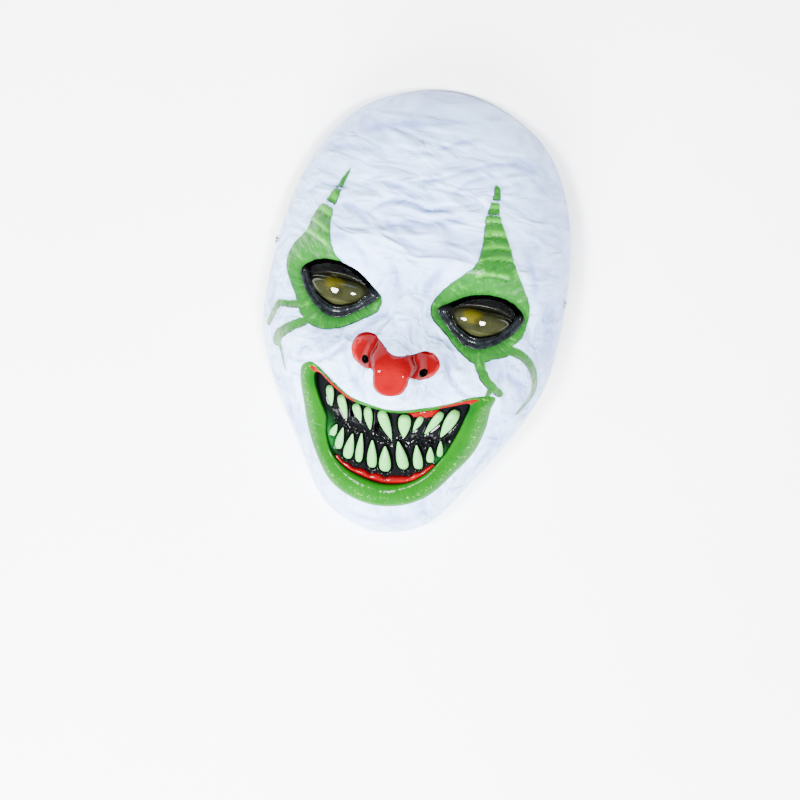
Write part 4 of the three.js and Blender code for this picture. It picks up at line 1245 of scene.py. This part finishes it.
def build_eyeballs(materials):
    """Domes that are part of a ball in the middle and turn down steeply at the lids"""
    share, angle, quads = disc_grid(*EYEBALL_GRID)
    dome = np.sin(np.clip(share / 0.93, 0, 1) * np.pi / 2)
    flange = EYEBALL_TUCK + FIT_GAP
    edge = eyeball_reach(angle) - flange
    x, y = on_spokes(EYE_MIDDLE, angle, dome * edge + flange * smoothstep(share, 0.93, 1.0))
    rim_x, rim_y = on_spokes(EYE_MIDDLE, angle, edge)
    floor = face_height(rim_x, rim_y) - LID_SKIRT - FIT_GAP
    sides = np.stack([rim_x - EYE_MIDDLE[0], rim_y - EYE_MIDDLE[1], np.ones_like(x)], -1)
    plane, *_ = np.linalg.lstsq(sides, floor, rcond=None)
    across = x - EYE_MIDDLE[0]
    up = y - EYE_MIDDLE[1]
    flat = plane[0] * across + plane[1] * up + plane[2]
    base = lerp(flat, face_height(x, y) - LID_SKIRT - FIT_GAP, smoothstep(dome, 0.7, 1.0))
    middle = face_height(*(np.array([float(at)]) for at in EYE_MIDDLE))[0]
    middle += EYEBALL_RISE - LID_SKIRT - FIT_GAP
    ball = middle + EYEBALL_LEAN[0] * across + EYEBALL_LEAN[1] * up
    ball -= (across ** 2 + up ** 2) / (2 * EYEBALL_CURVE)
    fullness = lerp(6, 2.3, smoothstep(np.sin(angle), -0.3, 0.5))
    height = base + np.maximum(ball - base, 0.8) * np.sqrt(1 - dome ** fullness)
    top = np.stack([x, y, height], -1)
    under = top - np.array([0, 0, WALL])
    points, faces, used, _ = thick_sheet(top, under, quads)
    rim_shade = np.concatenate([(0.84 + 2.2 * (dome - 0.93))[used]] * 2)
    for name, side, look in (("eyeball_right", 1, (-5.0, 2.0)), ("eyeball_left", -1, (-3.0, 3.5))):
        placed = mirror(points, side)
        out = placed[:, 0] - side * EYE_MIDDLE[0]
        rise = placed[:, 1] - EYE_MIDDLE[1]
        fields = {
            # Fields for the painted shadow at the edge, the dark middle, the painted glow round the
            # highlights and the painted reflection low down
            "radius": np.maximum(np.hypot(out / 17.5, (rise + 1.5) / 11.5), rim_shade),
            "pupil": np.hypot(out, rise + 1) / 9,
            "painted_glow": soft_spot(out, rise, look[0], look[1], 7, 4.5),
            "low": smoothstep(-rise, 3, 9),
        }
        ball_piece = make_mesh(f"{name}_coated", placed, faces, name, fields)
        ball_piece.data.materials.append(materials["olive"])


def build_strap(materials):
    """The elastic follows its CAD band: up the walls at both ends and flat across the back."""
    low, high = (np.array(corner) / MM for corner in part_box("strap"))
    middle = STRAP_THICKNESS / 2
    turn = np.linspace(0, np.pi / 2, 12)
    reach = high[0] - middle
    floor = low[2] + middle
    radius = STRAP_BEND - middle
    corner = np.stack([reach - radius * (1 - np.cos(turn)), floor + radius * (1 - np.sin(turn))], -1)
    right = np.vstack([[[reach, high[2] - 0.05]], corner])
    route = np.vstack([right, (right * [-1, 1])[::-1]])
    flat_x = np.linspace(route[12, 0], route[13, 0], 90)
    flat_run = np.stack([flat_x, np.full(90, floor)], -1)
    route = np.vstack([route[:13], flat_run, route[13:]])
    keep = np.concatenate([[True], np.linalg.norm(np.diff(route, axis=0), axis=1) > 0.01])
    route = route[keep]
    way = np.gradient(route, axis=0)
    way /= np.linalg.norm(way, axis=1)[:, None]
    normal = np.stack([-way[:, 1], way[:, 0]], -1)
    half_wide = (high[1] - low[1]) / 2
    turns = np.arange(STRAP_SIDES) * 2 * np.pi / STRAP_SIDES
    flat = np.sign(np.cos(turns)) * np.abs(np.cos(turns)) ** 0.35
    rib = 0.06 * np.abs(np.sin(flat * np.pi * STRAP_RIBS))
    lift = np.abs(np.sin(turns))
    thin = np.sign(np.sin(turns)) * (lift ** 0.3 * (STRAP_THICKNESS / 2 - 0.06) + rib * lift)
    mid_y = (high[1] + low[1]) / 2
    rings = []
    for spot, aside in zip(route, normal):
        place_xz = spot + thin[:, None] * aside
        rings.append(np.stack([place_xz[:, 0], mid_y + flat * half_wide, place_xz[:, 1]], -1))
    points = np.stack(rings).reshape(-1, 3)
    faces = tube_faces(len(rings), STRAP_SIDES)
    band = make_mesh("strap_woven", points, faces, "strap")
    band.data.materials.append(materials["elastic"])


def build_rivets(materials):
    """Domed heads outside the wall, shanks through it and caps inside the band"""
    for name, side in (("rivet_right", 1), ("rivet_left", -1)):
        low, high = (np.array(corner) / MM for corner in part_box(name))
        inside, outside = sorted((abs(low[0]), abs(high[0])))
        wide = (high[2] - low[2]) / 2
        profile = [
            (inside, 0), (inside, 0.75), (inside + 0.25, 0.85), (inside + 1, 0.85), (inside + 1, 0.5),
            (outside - 1, 0.5), (outside - 1, 0.99), (outside - 0.7, 0.97), (outside - 0.3, 0.78),
            (outside - 0.08, 0.45), (outside, 0),
        ]
        turn = np.arange(RIVET_SIDES) * 2 * np.pi / RIVET_SIDES
        middle_y = (low[1] + high[1]) / 2
        middle_z = (low[2] + high[2]) / 2
        rings = [np.stack([np.full(RIVET_SIDES, side * out), middle_y + radius * wide * np.cos(turn),
                           middle_z + radius * wide * np.sin(turn)], -1) for out, radius in profile]
        points = np.stack(rings).reshape(-1, 3)
        faces = grid_faces(len(rings), RIVET_SIDES, True)
        rivet = make_mesh(f"{name}_plated", points, faces, name, None, 35)
        rivet.data.materials.append(materials["steel"])


# Camera, lights and floor

CAMERA_YAW = math.radians(3.5)
CAMERA_PITCH = math.radians(12.0)
CAMERA_ROLL = math.radians(12.2)
CAMERA_DISTANCE = 1.5
AIM = Vector((0, 0.0205, 0.068))
AIM_PIXEL = (409, 298)
PICTURE = 800
PIXELS_PER_METRE = 1 / 0.00057
SENSOR = 36.0

# Lamps: direction from the mask, width in metres, power in watts. A fill gives no mirror image.
LAMP_DISTANCE = 1.15
LAMPS = [
    ("lamp_left", (-0.42, -0.15, 0.93), 0.28, 48.0),
    ("lamp_right", (0.3, -0.15, 0.98), 0.22, 42.0),
    ("fill_low", (-0.1, -1.0, 0.6), 0.7, 66.0),
]


def camera_axes():
    """The camera's right, up and backward directions"""
    back = Vector((
        math.sin(CAMERA_YAW) * math.cos(CAMERA_PITCH),
        math.sin(CAMERA_PITCH),
        math.cos(CAMERA_YAW) * math.cos(CAMERA_PITCH),
    ))
    up = Vector((0, 1, 0))
    up = (up - up.dot(back) * back).normalized()
    right = up.cross(back)
    turned = right * math.cos(CAMERA_ROLL) + up * math.sin(CAMERA_ROLL)
    return turned, up * math.cos(CAMERA_ROLL) - right * math.sin(CAMERA_ROLL), back


def build_stage(colours, lighting):
    floor_mesh = bpy.data.meshes.new("floor")
    half = 4.0
    corners = [(-half, -half, 0), (half, -half, 0), (half, half, 0), (-half, half, 0)]
    floor_mesh.from_pydata(corners, [], [(0, 1, 2, 3)])
    floor = bpy.data.objects.new("floor", floor_mesh)
    bpy.context.scene.collection.objects.link(floor)
    floor.data.materials.append(plain_floor(colours))

    right, up, back = camera_axes()
    focal = CAMERA_DISTANCE * PIXELS_PER_METRE
    offset = right * ((AIM_PIXEL[0] - PICTURE / 2) / focal) - up * ((AIM_PIXEL[1] - PICTURE / 2) / focal)
    eye = AIM - (offset - back) * CAMERA_DISTANCE
    lens = bpy.data.cameras.new("camera")
    lens.sensor_width = SENSOR
    lens.lens = focal * SENSOR / PICTURE
    camera = bpy.data.objects.new("camera", lens)
    turn = Matrix((right, up, back)).transposed().to_4x4()
    camera.matrix_world = Matrix.Translation(eye) @ turn
    bpy.context.scene.collection.objects.link(camera)
    bpy.context.scene.camera = camera

    for name, direction, size, power in LAMPS:
        light = bpy.data.lights.new(name, "AREA")
        light.shape = "DISK"
        light.size = size
        light.energy = power * lighting.lamps
        lamp = bpy.data.objects.new(name, light)
        toward = Vector(direction).normalized()
        spot = AIM + toward * LAMP_DISTANCE
        lamp.matrix_world = Matrix.Translation(spot) @ toward.to_track_quat("Z", "Y").to_matrix().to_4x4()
        lamp.visible_glossy = not name.startswith("fill")
        bpy.context.scene.collection.objects.link(lamp)

    world = bpy.data.worlds.new("studio")
    world.use_nodes = True
    world.node_tree.nodes["Background"].inputs[0].default_value = linear("#EEF1F8")
    world.node_tree.nodes["Background"].inputs[1].default_value = lighting.ambient
    bpy.context.scene.world = world


# Settings, operators and panel

def colour_setting(name, description, hex_colour):
    return FloatVectorProperty(
        name=name, description=description, subtype="COLOR", size=4, min=0, max=1, default=linear(hex_colour))


class MaskColours(bpy.types.PropertyGroup):
    white: colour_setting("White", "Sprayed white of the face", "#B4D2FB")
    # Lavender is the colour of the painted shade in the white
    lavender: colour_setting("Lavender", "Airbrushed shade in the white", "#7F97D0")
    green: colour_setting("Green", "Green of the eye patches and lips", "#1A5719")
    green_light: colour_setting("Light green", "Brush strokes in the green", "#3F982A")
    green_dark: colour_setting("Dark green", "Shade in the green", "#0D3F0D")
    green_deep: colour_setting("Deep green", "Inner edge of the lips", "#114A0A")
    red: colour_setting("Red", "Nose and gums", "#6A0006")
    charcoal: colour_setting("Charcoal", "Webs between the teeth", "#08090B")
    lid: colour_setting("Lids", "Enamel on the eyelids", "#1A1F22")
    glow: colour_setting("Teeth", "Glow paint on the teeth", "#57A350")
    glow_deep: colour_setting("Teeth, shaded", "Edges of the teeth", "#459552")
    olive: colour_setting("Olive", "Outer part of the eyeballs", "#1F2112")
    # The warm olive is the colour of the painted glow round the highlights
    olive_warm: colour_setting("Warm olive", "Inner part of the eyeballs", "#3F3A08")
    floor: colour_setting("Floor", "Studio floor", "#FBFBFC")


class MaskLighting(bpy.types.PropertyGroup):
    lamps: FloatProperty(name="Lamps", description="Share of the lamps' full power", default=1.0, min=0)
    ambient: FloatProperty(
        name="Ambient", description="Strength of the studio's ambient light", default=0.6, min=0)


def materials_of(context):
    """The mask's materials, made once"""
    colours = context.scene.mask_colours
    if not MATERIALS:
        MATERIALS.update({
            "white": painted_vinyl(colours),
            # The inside is made dark as painted shade, so the eye slits show black
            "inside": shaded_inside_vinyl(),
            "green": green_lip_paint(colours),
            "red": red_lacquer(colours),
            "black": black_enamel(colours),
            "glow": glow_paint(colours),
            "lid": lid_enamel(colours),
            "olive": eye_dome(colours),
            "elastic": woven_elastic(),
            "steel": pressed_steel(),
        })
    return MATERIALS


MATERIALS = {}


class MASK_OT_face(bpy.types.Operator):
    """Build the white face with its wrinkles and green patches"""
    bl_idname = "mask.face"
    bl_label = "Face"

    def execute(self, context):
        build_face(materials_of(context))
        return {"FINISHED"}


class MASK_OT_nose(bpy.types.Operator):
    """Build the red nose"""
    bl_idname = "mask.nose"
    bl_label = "Nose"

    def execute(self, context):
        build_nose(materials_of(context))
        return {"FINISHED"}


class MASK_OT_lips(bpy.types.Operator):
    """Build the rolled green lips"""
    bl_idname = "mask.lips"
    bl_label = "Lips"

    def execute(self, context):
        build_lips(materials_of(context))
        return {"FINISHED"}


class MASK_OT_gums(bpy.types.Operator):
    """Build the black gums and the red lower gum"""
    bl_idname = "mask.gums"
    bl_label = "Gums"

    def execute(self, context):
        build_gums(materials_of(context))
        build_lower_gum(materials_of(context))
        return {"FINISHED"}


class MASK_OT_teeth(bpy.types.Operator):
    """Build the fangs of both rows"""
    bl_idname = "mask.teeth"
    bl_label = "Teeth"

    def execute(self, context):
        build_teeth(materials_of(context))
        return {"FINISHED"}


class MASK_OT_eyes(bpy.types.Operator):
    """Build the eyelids and the eyeballs"""
    bl_idname = "mask.eyes"
    bl_label = "Eyes"

    def execute(self, context):
        build_eyelids(materials_of(context))
        build_eyeballs(materials_of(context))
        return {"FINISHED"}


class MASK_OT_strap(bpy.types.Operator):
    """Build the elastic strap and its rivets"""
    bl_idname = "mask.strap"
    bl_label = "Strap"

    def execute(self, context):
        build_strap(materials_of(context))
        build_rivets(materials_of(context))
        return {"FINISHED"}


class MASK_OT_stage(bpy.types.Operator):
    """Build the floor, the lights and the camera"""
    bl_idname = "mask.stage"
    bl_label = "Stage"

    def execute(self, context):
        build_stage(context.scene.mask_colours, context.scene.mask_lighting)
        return {"FINISHED"}


OPERATORS = [
    MASK_OT_face, MASK_OT_nose, MASK_OT_lips, MASK_OT_gums, MASK_OT_teeth, MASK_OT_eyes, MASK_OT_strap,
    MASK_OT_stage,
]


class MASK_PT_pieces(bpy.types.Panel):
    bl_label = "Demon clown mask"
    bl_space_type = "VIEW_3D"
    bl_region_type = "UI"
    bl_category = "Mask"

    def draw(self, context):
        for group in (context.scene.mask_colours, context.scene.mask_lighting):
            for name in group.__annotations__:
                self.layout.prop(group, name)
        for operator in OPERATORS:
            self.layout.operator(operator.bl_idname)


CLASSES = [MaskColours, MaskLighting, *OPERATORS, MASK_PT_pieces]


def register():
    for cls in CLASSES:
        bpy.utils.register_class(cls)
    bpy.types.Scene.mask_colours = PointerProperty(type=MaskColours)
    bpy.types.Scene.mask_lighting = PointerProperty(type=MaskLighting)


def unregister():
    del bpy.types.Scene.mask_lighting
    del bpy.types.Scene.mask_colours
    for cls in reversed(CLASSES):
        bpy.utils.unregister_class(cls)


def main():
    register()
    for operator in OPERATORS:
        name = operator.bl_idname.split(".")[1]
        getattr(bpy.ops.mask, name)()


if __name__ == "__main__":
    main()
